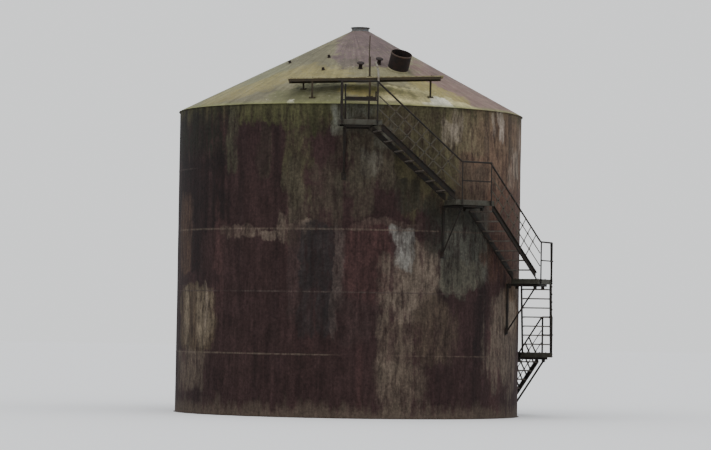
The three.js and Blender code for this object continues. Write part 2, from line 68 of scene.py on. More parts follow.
def choose(piece, kind, test):  # selects the vertices, edges or faces whose middle passes the test
    bpy.ops.mesh.select_mode(type=kind)
    bpy.ops.mesh.select_all(action="DESELECT")
    mesh = bmesh.from_edit_mesh(piece.data)
    parts = {"VERT": mesh.verts, "EDGE": mesh.edges, "FACE": mesh.faces}[kind]
    for part in parts:
        corners = [part] if kind == "VERT" else part.verts
        middle = sum((v.co for v in corners), Vector()) / len(corners)
        if test(middle):
            part.select_set(True)
    bmesh.update_edit_mesh(piece.data)


def closeUp():
    bpy.ops.object.mode_set(mode="OBJECT")


def faceOutward(piece):
    openUp(piece)
    bpy.ops.mesh.select_all(action="SELECT")
    bpy.ops.mesh.normals_make_consistent(inside=False)
    closeUp()


def drag(x=0, y=0, z=0):  # extrudes what is selected and moves it
    bpy.ops.mesh.extrude_region_move(TRANSFORM_OT_translate={"value": (x, y, z)})


def modify(piece, kind, **settings):  # adds a modifier and applies it
    alone(piece)
    modifier = piece.modifiers.new(kind.lower(), kind)
    for key, value in settings.items():
        setattr(modifier, key, value)
    bpy.ops.object.modifier_apply(modifier=modifier.name)


def settle(piece, matrix=None):  # place goes into the mesh
    if matrix is not None:
        piece.matrix_world = matrix @ piece.matrix_world
    alone(piece)
    bpy.ops.object.transform_apply(location=True, rotation=True, scale=True)
    return piece


def copyOf(piece, matrix=None):
    other = piece.copy()
    other.data = piece.data.copy()
    bpy.context.collection.objects.link(other)
    return settle(other, matrix)


def joinUp(parts):
    bpy.ops.object.select_all(action="DESELECT")
    for part in parts:
        part.select_set(True)
    bpy.context.view_layer.objects.active = parts[0]
    if len(parts) > 1:
        bpy.ops.object.join()
    return bpy.context.object


def paint(piece, material):
    piece.data.materials.clear()
    piece.data.materials.append(material)
    return piece


def handOver(name, parts, slot, *nodes):  # the finished piece goes to the frame
    piece = joinUp(parts)
    piece.name = piece.data.name = name
    settle(piece)
    bpy.ops.object.shade_smooth_by_angle(angle=deg(32))
    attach(piece, "root")
    if nodes:
        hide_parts(*nodes)
    return piece


def traceLine(points):  # a run of edges, drawn by extruding one vertex; stays in edit mode
    bpy.ops.mesh.primitive_plane_add(size=0.01, location=points[0])
    line = settle(bpy.context.object)
    openUp(line)
    bpy.ops.mesh.select_all(action="SELECT")
    bpy.ops.mesh.merge(type="CENTER")
    for start, end in zip(points, points[1:]):
        drag(*(Vector(end) - Vector(start)))
    return line


def lathe(outline, steps, bevel=0.0):  # an outline of (radius, height) pairs, spun round the Z axis
    line = traceLine([(r, 0, z) for r, z in outline])
    bpy.ops.mesh.select_all(action="SELECT")
    bpy.ops.mesh.spin(steps=steps, angle=2 * math.pi, center=(0, 0, 0), axis=(0, 0, 1))
    bpy.ops.mesh.select_all(action="SELECT")
    bpy.ops.mesh.remove_doubles(threshold=0.00005)
    bpy.ops.mesh.normals_make_consistent(inside=False)
    closeUp()
    if bevel:
        modify(line, "BEVEL", width=bevel, segments=2, limit_method="ANGLE", angle_limit=deg(40))
    return line


def bar(start, end, facing, web, flanges, plate):  # a flat, angle or channel bar; flanges point along facing
    start, end = Vector(start), Vector(end)
    run = end - start
    along = run.normalized()
    across = along.cross(Vector(facing)).normalized()
    out = across.cross(along)
    bpy.ops.mesh.primitive_plane_add(size=1, rotation=(deg(90), 0, 0))
    piece = settle(bpy.context.object)
    openUp(piece)
    bpy.ops.mesh.select_all(action="SELECT")
    bpy.ops.transform.resize(value=(run.length, 1, web - plate))
    for side, flange in zip((-1, 1), flanges):
        if flange:
            choose(piece, "EDGE", lambda m: m.z * side > (web - plate) * 0.49 and m.y < 0.0001)
            drag(y=flange - plate)
    closeUp()
    modify(piece, "SOLIDIFY", thickness=plate, offset=0)
    modify(piece, "BEVEL", width=min(0.002, plate * 0.3), segments=2, limit_method="ANGLE")
    turn = Matrix((along, out, across)).transposed().to_4x4()
    return settle(piece, Matrix.Translation((start + end) / 2 + out * plate / 2) @ turn)


def pipe(points, radius, bend=0.06, sides=4):  # a tube along points, its corners rounded
    line = traceLine(points)
    if len(points) > 2:
        corners = [Vector(p) for p in points[1:-1]]
        choose(line, "VERT", lambda m: any((m - c).length < 0.001 for c in corners))
        bpy.ops.mesh.bevel(offset=bend, segments=5, affect="VERTICES")
    closeUp()
    alone(line)
    bpy.ops.object.convert(target="CURVE")
    line = bpy.context.object
    line.data.bevel_depth = radius
    line.data.bevel_resolution = sides
    line.data.use_fill_caps = True
    bpy.ops.object.convert(target="MESH")
    return bpy.context.object


def plate(corners, thickness):  # a flat sheet from its corners, thickness downwards from them
    bpy.ops.mesh.primitive_circle_add(vertices=len(corners), radius=1, fill_type="NGON")
    sheet = bpy.context.object
    for vertex, corner in zip(sheet.data.vertices, corners):
        vertex.co = corner
    faceOutward(sheet)
    modify(sheet, "SOLIDIFY", thickness=thickness, offset=-1)
    modify(sheet, "BEVEL", width=thickness * 0.25, segments=2, limit_method="ANGLE")
    return sheet


bolt = {"head": 0.0139, "headHeight": 0.010, "rim": 0.002, "rise": 0.0015, "washer": 0.015,
        "washerPlate": 0.003}


def hexBolt():  # M16 head on its washer, at the origin and pointing up
    b = bolt
    middle = b["washerPlate"] + b["headHeight"] / 2
    bpy.ops.mesh.primitive_cylinder_add(vertices=6, radius=b["head"], depth=b["headHeight"],
                                        location=(0, 0, middle))
    head = settle(bpy.context.object)
    openUp(head)
    choose(head, "FACE", lambda m: m.z > middle + b["headHeight"] * 0.45)
    bpy.ops.mesh.inset(thickness=b["rim"], depth=b["rise"])
    closeUp()
    washer = lathe([(0, b["washerPlate"]), (b["washer"], b["washerPlate"]), (b["washer"], 0)], 14)
    return joinUp([head, washer])


def boltsAt(points, direction):
    turn = Vector((0, 0, 1)).rotation_difference(Vector(direction)).to_matrix().to_4x4()
    return [copyOf(boltModel, Matrix.Translation(p) @ turn) for p in points]


def roofHeight(fromAxis):
    rise = (tank["eaveRadius"] - fromAxis) * math.tan(tank["slope"])
    return tank["eave"] + rise + tank["roofPlate"] / math.cos(tank["slope"])


# The apex stands to the right of the axis: the centres of the roof's level circles move with their height.
roofLean = tank["apexToRight"] / (tank["eaveRadius"] * math.tan(tank["slope"]))


def roofHeightAt(x, y):
    height = roofHeight(math.hypot(x, y))
    for _ in range(6):
        height = roofHeight(math.hypot(x - roofLean * (height - tank["eave"]), y))
    return height


def leaned(piece):  # an upright cone's piece, slid to the right in step with its height
    slide = Matrix.Identity(4)
    slide[0][2] = roofLean
    slide[0][3] = -roofLean * tank["eave"]
    piece.data.transform(slide)
    return piece


def onRoof(fromAxis, angle):  # stands square to the roof
    height = roofHeight(fromAxis)
    tilt = Matrix.Rotation(tank["slope"], 4, "X")
    place = Matrix.Rotation(deg(angle), 4, "Z") @ Matrix.Translation((0, -fromAxis, height)) @ tilt
    return Matrix.Translation((roofLean * (height - tank["eave"]), 0, 0)) @ place


def landingPlace(number):
    turn = Matrix.Rotation(deg(stair["first"] + (number - 1) * stair["between"]), 4, "Z")
    return turn @ Matrix.Translation((0, 0, stair["top"] - (number - 1) * stair["risers"] * stair["riser"]))


def flightPlace(number):
    return Matrix.Rotation(deg(stair["between"] / 2), 4, "Z") @ landingPlace(number)


# Materials: sRGB colours go through linear(), each pattern is sized in metres on the object

def linear(hexColour):
    parts = [int(hexColour[i:i + 2], 16) / 255 for i in (1, 3, 5)]
    return [c / 12.92 if c <= 0.04045 else ((c + 0.055) / 1.055) ** 2.4 for c in parts] + [1]


def addNode(tree, kind, links=(), **settings):
    node = tree.nodes.new("ShaderNode" + kind)
    for key, value in settings.items():
        setattr(node, key, value)
    for key, value in dict(links).items():
        if isinstance(value, bpy.types.Node):
            value = next(s for s in value.outputs if s.enabled)
        if isinstance(value, bpy.types.NodeSocket):
            tree.links.new(value, node.inputs[key])
        else:
            node.inputs[key].default_value = value
    return node


def newMaterial(name):
    material = bpy.data.materials.new(name)
    material.use_nodes = True
    material.node_tree.nodes.clear()
    return material, material.node_tree


def finishMaterial(tree, colour, roughness, height, distance, metallic=0.0, gloss=0.5):
    bump = addNode(tree, "Bump", {"Height": height, "Strength": 0.8, "Distance": distance})
    shader = addNode(tree, "BsdfPrincipled", {"Base Color": colour, "Roughness": roughness,
                                              "Metallic": metallic, "Specular IOR Level": gloss,
                                              "Normal": bump})
    addNode(tree, "OutputMaterial", {"Surface": shader})


def addPlaces(tree):  # the point on the object, its X, Y and Z, and its angle from the front
    position = addNode(tree, "TexCoord").outputs["Object"]
    split = addNode(tree, "SeparateXYZ", {0: position})
    front = addNode(tree, "Math", {0: split.outputs["Y"], 1: -1.0}, operation="MULTIPLY")
    angle = addNode(tree, "Math", {0: split.outputs["X"], 1: front}, operation="ARCTAN2")
    return position, split, angle


def addWander(tree, position, start, reach, **noise):  # start, moved about by up to half of reach
    wander = addNode(tree, "TexNoise", {"Vector": position, "Roughness": 0.6, **noise})
    wander = addNode(tree, "VectorMath", {0: wander.outputs["Color"], 1: (0.5, 0.5, 0.5)},
                     operation="SUBTRACT")
    return addNode(tree, "VectorMath", {0: wander, 1: reach, 2: start}, operation="MULTIPLY_ADD")


def addTint(tree, colour, tint, value, start, end, strength=1.0, blend="LINEAR"):
    mask = addNode(tree, "MapRange", {"Value": value, "From Min": start, "From Max": end,
                                      "To Max": strength}, interpolation_type=blend)
    return addNode(tree, "Mix", {"Factor": mask, 6: colour, 7: linear(tint)}, data_type="RGBA")


def addShades(tree, colour, layers):  # each layer is a noise and how strongly it darkens and lightens
    shade = 1.0
    for noise, depth in layers:
        layer = addNode(tree, "MapRange", {"Value": noise, "From Min": 0.25, "From Max": 0.75,
                                           "To Min": 1 - depth / 2, "To Max": 1 + depth / 2})
        shade = addNode(tree, "Math", {0: shade, 1: layer}, operation="MULTIPLY")
    return addNode(tree, "VectorMath", {"Vector": colour, "Scale": shade}, operation="SCALE")


# Stains lie one over another, each (colour, strength, across, up, half width, half height, softness), in
# metres on the surface. fray runs from -0.5 to 0.5 and breaks their edges, the soft ones most, and worn thins
# them in places.
def addStains(tree, colour, spread, fray, worn, look, stains):
    for name, strength, across, up, halfWidth, halfHeight, soft in stains:
        near = addNode(tree, "Mapping", {"Vector": spread,
                                         "Location": (-across / halfWidth, -up / halfHeight, 0),
                                         "Scale": (1 / halfWidth, 1 / halfHeight, 0)})
        near = addNode(tree, "VectorMath", {0: near, 1: near}, operation="MULTIPLY")
        edge = addNode(tree, "VectorMath", {0: near, 1: near}, operation="DOT_PRODUCT")
        edge = addNode(tree, "Math", {0: fray, 1: 2.6 * soft, 2: edge}, operation="MULTIPLY_ADD")
        mask = addNode(tree, "MapRange", {"Value": edge, "From Min": 1 + soft, "From Max": 1 - soft,
                                          "To Max": strength}, interpolation_type="SMOOTHSTEP")
        mask = addNode(tree, "Math", {0: mask, 1: worn}, operation="MULTIPLY")
        colour = addNode(tree, "Mix", {"Factor": mask, 6: colour, 7: linear(look[name])}, data_type="RGBA")
    return colour


# Old red oxide paint on rolled steel: the eye sees a dull, dark maroon with upright streaks, soot and moss on
# the left and under the eave, bare rusty browns on the right, and pale lime where water has run, with painted
# shade under the stair's flights and landings.
shellLook = {
    "streakWidth": 0.16, "grainWidth": 0.035, "mottleSize": 0.45, "grit": 0.014, "stretch": 0.06,
    "oxide": "#2e211f", "warmOxide": "#382725", "soot": "#1e1c17", "char": "#1e1716", "plum": "#2a1e1d",
    "oliveDrip": "#38352a", "moss": "#3c3b27", "darkMoss": "#2d2c1d", "ash": "#3e382e", "greenAsh": "#3f3d2b",
    "lime": "#4a3f37", "paleLime": "#655a4e", "slate": "#262120", "slateEdge": "#302523", "dust": "#3d3430",
    "chalk": "#66635d", "clay": "#564c42", "greyGreen": "#403f38", "dampGrey": "#434037", "rust": "#5b4b3c",
    "darkRust": "#41372e", "drip": "#80756a", "grey": "#5b5b51", "paleGrey": "#6a6960", "sand": "#5a5042",
    "darkSand": "#40362b", "lowClay": "#564c41", "oliveRust": "#564e3c", "oliveBrown": "#423d2c",
    # the dark olive black after deepRust is painted shade, standing for the shadow under the stair
    "deepRust": "#453229", "paintedStairShade": "#272520", "redDust": "#3e3028", "redRust": "#554437",
    "speckled": "#7a7064",
    "stains": [
        # upper left
        ("soot", 1.00, -4.70, 6.85, 1.55, 0.85, 0.8), ("char", 1.00, -4.60, 5.50, 1.40, 0.90, 0.8),
        ("oliveDrip", 1.00, -3.10, 6.80, 0.18, 0.90, 0.7), ("oliveDrip", 0.60, -2.15, 6.30, 0.22, 0.50, 0.9),
        ("plum", 0.70, -2.50, 6.50, 0.50, 0.70, 0.9), ("moss", 1.00, -1.50, 7.25, 1.45, 0.34, 0.8),
        ("darkMoss", 0.95, -0.85, 7.10, 0.28, 0.45, 0.7), ("greenAsh", 0.70, -1.25, 6.10, 0.32, 0.90, 1.0),
        ("ash", 0.70, -1.30, 5.00, 0.28, 0.95, 1.0), ("ash", 0.60, -0.55, 5.40, 0.40, 0.80, 0.9),
        # lime runs in the middle, then the dark block under them
        ("lime", 0.80, -2.75, 4.42, 0.58, 0.15, 1.0), ("paleLime", 0.60, -2.10, 4.40, 0.34, 0.15, 1.0),
        ("paleLime", 0.42, -1.62, 4.55, 0.12, 0.34, 1.0), ("lime", 0.85, -1.25, 4.48, 0.40, 0.16, 1.0),
        ("paleLime", 0.60, -1.03, 4.48, 0.13, 0.20, 0.9), ("slate", 1.00, -0.82, 3.78, 0.46, 0.82, 0.35),
        ("slate", 0.95, -0.55, 2.75, 0.25, 0.70, 0.5), ("slate", 0.75, -1.00, 2.60, 0.20, 0.70, 0.7),
        ("slateEdge", 1.00, -1.32, 3.40, 0.13, 1.15, 0.6), ("dust", 1.00, -0.22, 3.60, 0.14, 0.90, 0.8),
        ("dust", 0.60, -0.35, 2.40, 0.08, 0.50, 0.8), ("warmOxide", 1.00, 0.45, 3.70, 0.58, 0.90, 0.6),
        ("slateEdge", 0.70, 0.30, 2.30, 0.50, 0.60, 0.9),
        # under and beside the top flight, with painted shade below the flight and below the second landing
        ("grey", 0.95, 0.16, 7.18, 0.56, 0.46, 1.0), ("oliveBrown", 0.90, 1.00, 6.95, 0.55, 0.50, 0.8),
        ("ash", 1.00, 0.70, 6.30, 0.90, 0.90, 0.8), ("paleGrey", 0.22, 0.50, 6.05, 0.28, 0.34, 0.9),
        ("grey", 0.45, 0.80, 6.75, 0.26, 0.30, 0.9), ("ash", 0.60, 0.30, 5.40, 0.26, 0.60, 1.0),
        ("oliveBrown", 1.00, 2.25, 6.20, 1.05, 1.35, 0.6), ("paintedStairShade", 0.75, 1.45, 5.35, 0.35, 0.35, 0.9),
        ("paintedStairShade", 0.80, 2.00, 5.05, 0.35, 0.30, 0.9), ("redRust", 1.00, 4.75, 6.25, 2.00, 1.35, 0.7),
        ("oliveRust", 0.95, 3.10, 6.85, 0.70, 0.55, 0.8), ("rust", 0.80, 4.90, 6.95, 1.60, 0.50, 0.9),
        ("drip", 0.35, 2.72, 7.00, 0.14, 0.45, 0.9), ("darkRust", 0.80, 3.25, 5.70, 0.60, 0.50, 0.8),
        ("deepRust", 0.90, 5.10, 5.10, 1.30, 0.55, 0.8), ("darkRust", 0.70, 3.80, 6.80, 0.10, 0.60, 0.8),
        ("darkRust", 0.80, 4.95, 6.70, 0.14, 0.80, 0.9), ("darkRust", 0.70, 5.60, 6.50, 0.16, 0.90, 0.9),
        ("drip", 0.80, 4.42, 7.12, 0.13, 0.36, 0.8), ("drip", 0.55, 4.08, 7.05, 0.07, 0.32, 0.8),
        ("speckled", 0.55, 5.40, 6.25, 0.34, 0.34, 0.9), ("speckled", 0.30, 5.05, 5.80, 0.26, 0.26, 0.9),
        ("drip", 0.50, 5.90, 7.00, 0.18, 0.40, 0.9), ("speckled", 0.45, 2.55, 6.75, 0.22, 0.34, 0.9),
        # right of the middle
        ("clay", 0.30, 0.95, 4.58, 0.80, 0.12, 1.0), ("clay", 0.88, 1.50, 3.05, 0.70, 0.78, 0.9),
        ("clay", 0.82, 1.90, 3.50, 0.42, 0.60, 1.0), ("chalk", 0.85, 1.30, 3.98, 0.24, 0.50, 0.9),
        ("chalk", 0.70, 1.12, 4.42, 0.16, 0.16, 0.8), ("darkRust", 0.70, 2.00, 2.60, 0.35, 0.35, 0.9),
        ("lowClay", 0.58, 1.15, 1.60, 0.45, 0.80, 1.0), ("lowClay", 0.55, 1.30, 0.65, 0.62, 0.60, 1.0),
        ("clay", 0.35, 0.90, 0.90, 0.28, 0.60, 1.0), ("darkRust", 0.85, 2.25, 2.00, 0.60, 0.70, 0.9),
        # the first stain on each of these two lines is painted shade under the second landing and flight
        ("paintedStairShade", 0.75, 2.15, 4.50, 0.32, 0.60, 0.9), ("greyGreen", 1.00, 3.10, 4.20, 0.88, 1.05, 0.4),
        ("paintedStairShade", 0.60, 2.95, 4.90, 0.75, 0.30, 0.8), ("dampGrey", 1.00, 3.00, 3.35, 0.72, 0.42, 0.6),
        ("char", 0.80, 3.70, 2.40, 0.34, 0.90, 0.8), ("clay", 0.85, 4.80, 1.80, 0.95, 1.10, 1.0),
        ("clay", 0.85, 5.25, 2.75, 0.70, 0.50, 1.0), ("rust", 0.90, 5.40, 2.80, 0.60, 0.70, 0.9),
        ("speckled", 0.55, 5.25, 2.55, 0.42, 0.42, 1.0), ("deepRust", 0.95, 5.00, 4.20, 1.20, 0.80, 0.8),
        # lower left
        ("redDust", 1.00, -5.20, 4.30, 0.50, 0.95, 0.8), ("char", 0.85, -4.50, 4.20, 0.28, 0.85, 0.7),
        ("plum", 0.90, -4.40, 3.25, 1.00, 0.24, 0.9), ("darkSand", 1.00, -4.58, 2.28, 1.02, 0.80, 0.4),
        ("sand", 0.90, -5.05, 2.35, 0.20, 0.70, 0.6), ("sand", 0.90, -4.15, 2.40, 0.30, 0.68, 0.6),
        ("sand", 0.60, -3.72, 2.55, 0.08, 0.55, 0.7), ("paleLime", 0.60, -4.02, 2.70, 0.06, 0.60, 0.7),
        ("darkRust", 0.60, -4.62, 2.60, 0.10, 0.55, 0.8), ("lowClay", 0.60, -4.90, 1.05, 0.85, 0.48, 1.0),
        # the back carries on in the same way
        ("soot", 0.95, -8.20, 6.60, 1.50, 0.90, 0.9), ("ash", 0.70, -9.90, 6.20, 0.30, 1.00, 1.0),
        ("oliveDrip", 0.80, -12.60, 6.40, 0.25, 0.90, 0.9), ("plum", 0.80, -10.60, 4.00, 1.20, 0.60, 1.0),
        ("sand", 0.70, -9.80, 1.90, 0.50, 1.20, 1.0), ("darkSand", 0.80, -9.10, 2.30, 0.50, 0.80, 1.0),
        ("slate", 0.95, -7.40, 3.40, 0.45, 1.35, 0.8), ("lime", 0.85, -11.60, 4.38, 0.90, 0.16, 1.0),
        ("paleLime", 0.60, -11.20, 4.30, 0.20, 0.30, 1.0), ("moss", 1.00, -11.00, 7.20, 1.70, 0.36, 0.9),
        ("rust", 0.55, 8.40, 6.30, 1.40, 1.10, 1.0), ("darkRust", 0.80, 9.60, 5.30, 1.20, 0.70, 1.0),
        ("slate", 0.95, 9.90, 3.50, 0.55, 1.40, 0.8), ("clay", 0.50, 11.80, 1.30, 0.80, 1.30, 1.0),
        ("darkRust", 0.85, 12.60, 2.10, 0.70, 1.00, 1.0), ("ash", 0.60, 12.20, 6.50, 0.70, 1.00, 1.0),
        ("clay", 0.45, 7.40, 3.80, 0.45, 1.15, 1.0), ("paleLime", 0.65, 10.60, 4.45, 0.55, 0.14, 1.0),
        ("drip", 0.35, -7.10, 6.90, 0.12, 0.50, 1.0),
    ],
    "weldLines": [
        ("paleLime", 0.30, -2.00, 4.480, 3.80, 0.024, 0.8), ("lime", 0.50, 2.60, 4.480, 2.10, 0.020, 0.8),
        ("dust", 0.70, -1.50, 2.990, 4.90, 0.018, 0.8), ("clay", 0.65, -3.20, 1.500, 2.80, 0.020, 0.8),
        ("lime", 0.60, 3.60, 1.500, 2.60, 0.018, 0.8), ("lime", 0.65, 9.50, 4.480, 3.80, 0.022, 0.8),
        ("clay", 0.60, -9.20, 2.990, 3.40, 0.020, 0.8), ("dust", 0.70, 10.0, 1.500, 3.20, 0.020, 0.8),
        ("dust", 0.60, -8.80, 5.970, 4.00, 0.020, 0.8),
    ]}


def makeShellSteel(number):  # one finish on all five courses, but each carries only the stains that reach it
    look = shellLook
    low = tank["foot"] + (number - 1) * tank["course"]
    high = low + tank["course"]
    reach = 0.7  # how far the streaks can draw a stain up or down
    stains = [s for s in look["stains"]
              if s[3] + 1.25 * s[5] + reach > low and s[3] - 1.25 * s[5] - reach < high]
    lines = [s for s in look["weldLines"] if low - 0.1 < s[3] < high + 0.1]
    material, tree = newMaterial("redOxidePaintedSteelCourse%d" % number)
    position, split, angle = addPlaces(tree)
    arc = addNode(tree, "Math", {0: angle, 1: tank["outer"]}, operation="MULTIPLY")
    tall = addNode(tree, "Mapping", {"Vector": position, "Scale": (1, 1, look["stretch"])})
    streaks = addNode(tree, "TexNoise", {"Vector": tall, "Scale": 1 / look["streakWidth"], "Detail": 4.0})
    grain = addNode(tree, "TexNoise", {"Vector": tall, "Scale": 1 / look["grainWidth"], "Detail": 3.0})
    bands = addNode(tree, "TexNoise", {"Vector": tall, "Scale": 1.1, "Detail": 2.0, "Roughness": 0.6})
    mottle = addNode(tree, "TexNoise", {"Vector": position, "Scale": 1 / look["mottleSize"], "Detail": 8.0,
                                        "Roughness": 0.65})
    specks = addNode(tree, "TexNoise", {"Vector": position, "Scale": 16.0, "Detail": 6.0, "Roughness": 0.7})
    grit = addNode(tree, "TexNoise", {"Vector": position, "Scale": 1 / look["grit"], "Detail": 4.0})

    colour = addTint(tree, linear(look["oxide"]), look["plum"], mottle, 0.35, 0.65)
    colour = addTint(tree, colour, look["warmOxide"], bands, 0.45, 0.33, 0.7, "SMOOTHSTEP")
    colour = addTint(tree, colour, look["char"], bands, 0.54, 0.66, 0.6, "SMOOTHSTEP")

    # The stains wander a little and end in streaks.
    bothNoises = addNode(tree, "Math", {0: mottle, 1: streaks}, operation="ADD")
    fray = addNode(tree, "MapRange", {"Value": bothNoises, "From Min": 0.75, "From Max": 1.25,
                                      "To Min": -0.5, "To Max": 0.5})
    onSurface = addNode(tree, "CombineXYZ", {"X": arc, "Y": split.outputs["Z"]})
    spread = addWander(tree, position, onSurface, (0.5, 0.9, 0), Scale=1.4, Detail=5.0)
    upright = addNode(tree, "Mapping", {"Vector": position, "Scale": (1, 1, 0.28)})
    upright = addNode(tree, "TexNoise", {"Vector": upright, "Scale": 7.5, "Detail": 8.0, "Roughness": 0.74})
    worn = addNode(tree, "MapRange", {"Value": upright, "From Min": 0.36, "From Max": 0.56, "To Min": 0.25,
                                      "To Max": 1.1})
    colour = addStains(tree, colour, spread, fray, worn, look, stains)
    colour = addStains(tree, colour, onSurface, fray, worn, look, lines)

    # Moss hangs in drips from the eave, and mud has splashed up at the foot.
    drips = addNode(tree, "Math", {0: fray, 1: 0.45, 2: split.outputs["Z"]}, operation="MULTIPLY_ADD")
    colour = addTint(tree, colour, look["moss"], drips, 7.05, 7.60, 0.6, "SMOOTHSTEP")
    colour = addTint(tree, colour, look["lowClay"], drips, 0.45, 0.05, 0.55, "SMOOTHSTEP")

    # Upright grain and rust scale over all of it.
    layers = (streaks, 0.55), (grain, 0.30), (mottle, 0.75), (upright, 0.80), (specks, 1.00)
    colour = addShades(tree, colour, layers)
    rough = addNode(tree, "MapRange", {"Value": mottle, "To Min": 0.72, "To Max": 0.98})
    relief = addNode(tree, "Math", {0: grit, 1: specks}, operation="ADD")
    finishMaterial(tree, colour, rough, relief, 0.004, gloss=0.12)
    return material


# Painted roof sheets under lichen: the eye sees dusty yellow and grey green crusts, nearly black moss in
# front under the walkway with the walkway's painted shadow over it, and the bare mauve paint high up in the
# middle and down the right.
roofLook = {
    "lichen": "#7e785a", "yellow": "#8c8152", "greyLichen": "#77765c", "dullGrey": "#686350",
    "mauve": "#655654", "warmMauve": "#77615a", "oliveMoss": "#666548", "darkMoss": "#747656",
    "moss": "#76774c", "blackMossAndPaintedShade": "#302f1f",
    "chalk": "#d6d1b9", "paleYellow": "#bbb180", "rusty": "#5e4a3a", "dullBrown": "#5d554b",
    "stains": [
        # (colour, strength, across, back, half width, half depth, softness), seen from above
        ("greyLichen", 0.95, -2.50, -1.30, 1.60, 0.95, 0.9),
        ("dullGrey", 0.95, -2.50, -3.00, 0.80, 0.48, 0.9),
        ("dullGrey", 0.90, -1.00, -1.60, 0.55, 0.90, 0.9), ("yellow", 0.65, -1.90, -2.30, 1.05, 0.50, 1.0),
        ("yellow", 0.65, -0.60, -2.60, 0.65, 0.40, 0.9), ("yellow", 0.50, -3.10, -1.80, 0.50, 0.70, 0.9),
        ("mauve", 1.00, 0.45, -1.25, 0.95, 1.00, 0.35), ("mauve", 1.00, 0.35, -0.50, 0.42, 0.50, 0.7),
        ("dullBrown", 0.90, -0.10, -2.15, 0.35, 0.25, 0.8), ("lichen", 0.75, 0.70, -2.45, 0.60, 0.22, 0.9),
        ("warmMauve", 1.00, 3.25, -1.20, 1.70, 1.85, 0.4), ("mauve", 0.30, 2.35, -0.90, 0.60, 0.60, 0.9),
        ("yellow", 0.95, 2.10, -2.80, 0.75, 0.40, 0.8), ("paleYellow", 1.00, 1.40, -3.55, 0.72, 0.52, 0.7),
        ("paleYellow", 0.85, 2.75, -3.05, 0.50, 0.22, 0.8), ("darkMoss", 0.55, -0.65, -3.45, 0.60, 0.42, 0.8),
        ("oliveMoss", 0.90, -1.45, -3.50, 0.55, 0.42, 0.8), ("yellow", 1.00, 0.18, -3.60, 0.46, 0.32, 0.8),
        # the first stain here, a nearly black band along the walkway, is partly moss and partly painted
        # walkway shadow
        ("blackMossAndPaintedShade", 0.70, 0.00, -3.08, 1.30, 0.10, 0.8), ("oliveMoss", 1.00, -0.95, -4.05, 0.95, 0.20, 0.9),
        ("moss", 0.60, 0.60, -3.42, 0.80, 0.16, 0.9), ("chalk", 1.00, 2.22, -3.46, 0.34, 0.28, 0.5),
        ("chalk", 0.60, 1.95, -3.72, 0.25, 0.10, 0.9), ("chalk", 0.60, -1.42, -3.95, 0.08, 0.14, 0.8),
        # the back half, where only the outline is seen from in front
        ("mauve", 0.95, 1.60, 1.90, 1.40, 1.00, 0.7), ("warmMauve", 0.95, 3.20, 0.90, 1.00, 1.20, 0.6),
        ("greyLichen", 0.90, -1.80, 2.20, 1.40, 1.20, 0.9), ("yellow", 0.60, -0.20, 3.30, 1.20, 0.60, 1.0),
        ("oliveMoss", 0.95, -2.90, 2.30, 0.80, 0.90, 0.9), ("darkMoss", 0.85, 1.20, 3.50, 0.70, 0.45, 0.9),
        ("dullGrey", 0.90, 2.60, 2.40, 0.70, 0.80, 0.9), ("yellow", 0.50, -3.50, 0.70, 0.50, 0.80, 1.0),
    ]}


def makeRoofSteel():
    look = roofLook
    material, tree = newMaterial("paintedRoofSteelWithLichen")
    position, split, angle = addPlaces(tree)
    crusts = addNode(tree, "TexNoise", {"Vector": position, "Scale": 1.7, "Detail": 9.0, "Roughness": 0.68})
    patches = addNode(tree, "TexNoise", {"Vector": position, "Scale": 5.0, "Detail": 7.0, "Roughness": 0.7})
    spots = addNode(tree, "TexNoise", {"Vector": position, "Scale": 16.0, "Detail": 6.0, "Roughness": 0.75})
    grit = addNode(tree, "TexNoise", {"Vector": position, "Scale": 70.0, "Detail": 3.0})

    # Rain has drawn thin lines down the slope.
    turned = addNode(tree, "Math", {0: angle, 1: 14.0}, operation="MULTIPLY")
    runs = addNode(tree, "CombineXYZ", {"X": turned, "Y": split.outputs["Z"]})
    runs = addNode(tree, "TexNoise", {"Vector": runs, "Scale": 1.6, "Detail": 4.0})

    colour = addNode(tree, "Mix", {"Factor": crusts, 6: linear(look["lichen"]), 7: linear(look["dullGrey"])},
                     data_type="RGBA")
    fray = addNode(tree, "Math", {0: patches, 1: crusts}, operation="ADD")
    fray = addNode(tree, "MapRange", {"Value": fray, "From Min": 0.75, "From Max": 1.25, "To Min": -0.5,
                                      "To Max": 0.5})
    spread = addWander(tree, position, position, (1.0, 1.0, 0), Scale=1.6, Detail=6.0)
    spread = addNode(tree, "VectorMath", {0: spread, 1: (1, 1, 0)}, operation="MULTIPLY")
    worn = addNode(tree, "MapRange", {"Value": spots, "From Min": 0.36, "From Max": 0.54, "To Min": 0.4,
                                      "To Max": 1.1})
    colour = addStains(tree, colour, spread, fray, worn, look, look["stains"])

    # A rim of moss along the edge, then dark and pale spots and rusty patches.
    low = addNode(tree, "Math", {0: split.outputs["Z"], 1: tank["eave"]}, operation="SUBTRACT")
    colour = addTint(tree, colour, look["moss"], low, 0.10, 0.02, 0.7)
    colour = addTint(tree, colour, look["blackMossAndPaintedShade"], spots, 0.60, 0.72, 0.55)
    colour = addTint(tree, colour, look["chalk"], spots, 0.40, 0.28, 0.45)
    colour = addTint(tree, colour, look["rusty"], patches, 0.62, 0.74, 0.35)
    colour = addShades(tree, colour, ((runs, 0.45), (patches, 0.55), (crusts, 0.40), (spots, 0.35)))
    rough = addNode(tree, "MapRange", {"Value": patches, "To Min": 0.78, "To Max": 0.98})
    relief = addNode(tree, "Math", {0: grit, 1: spots}, operation="ADD")
    finishMaterial(tree, colour, rough, relief, 0.006, gloss=0.25)
    return material


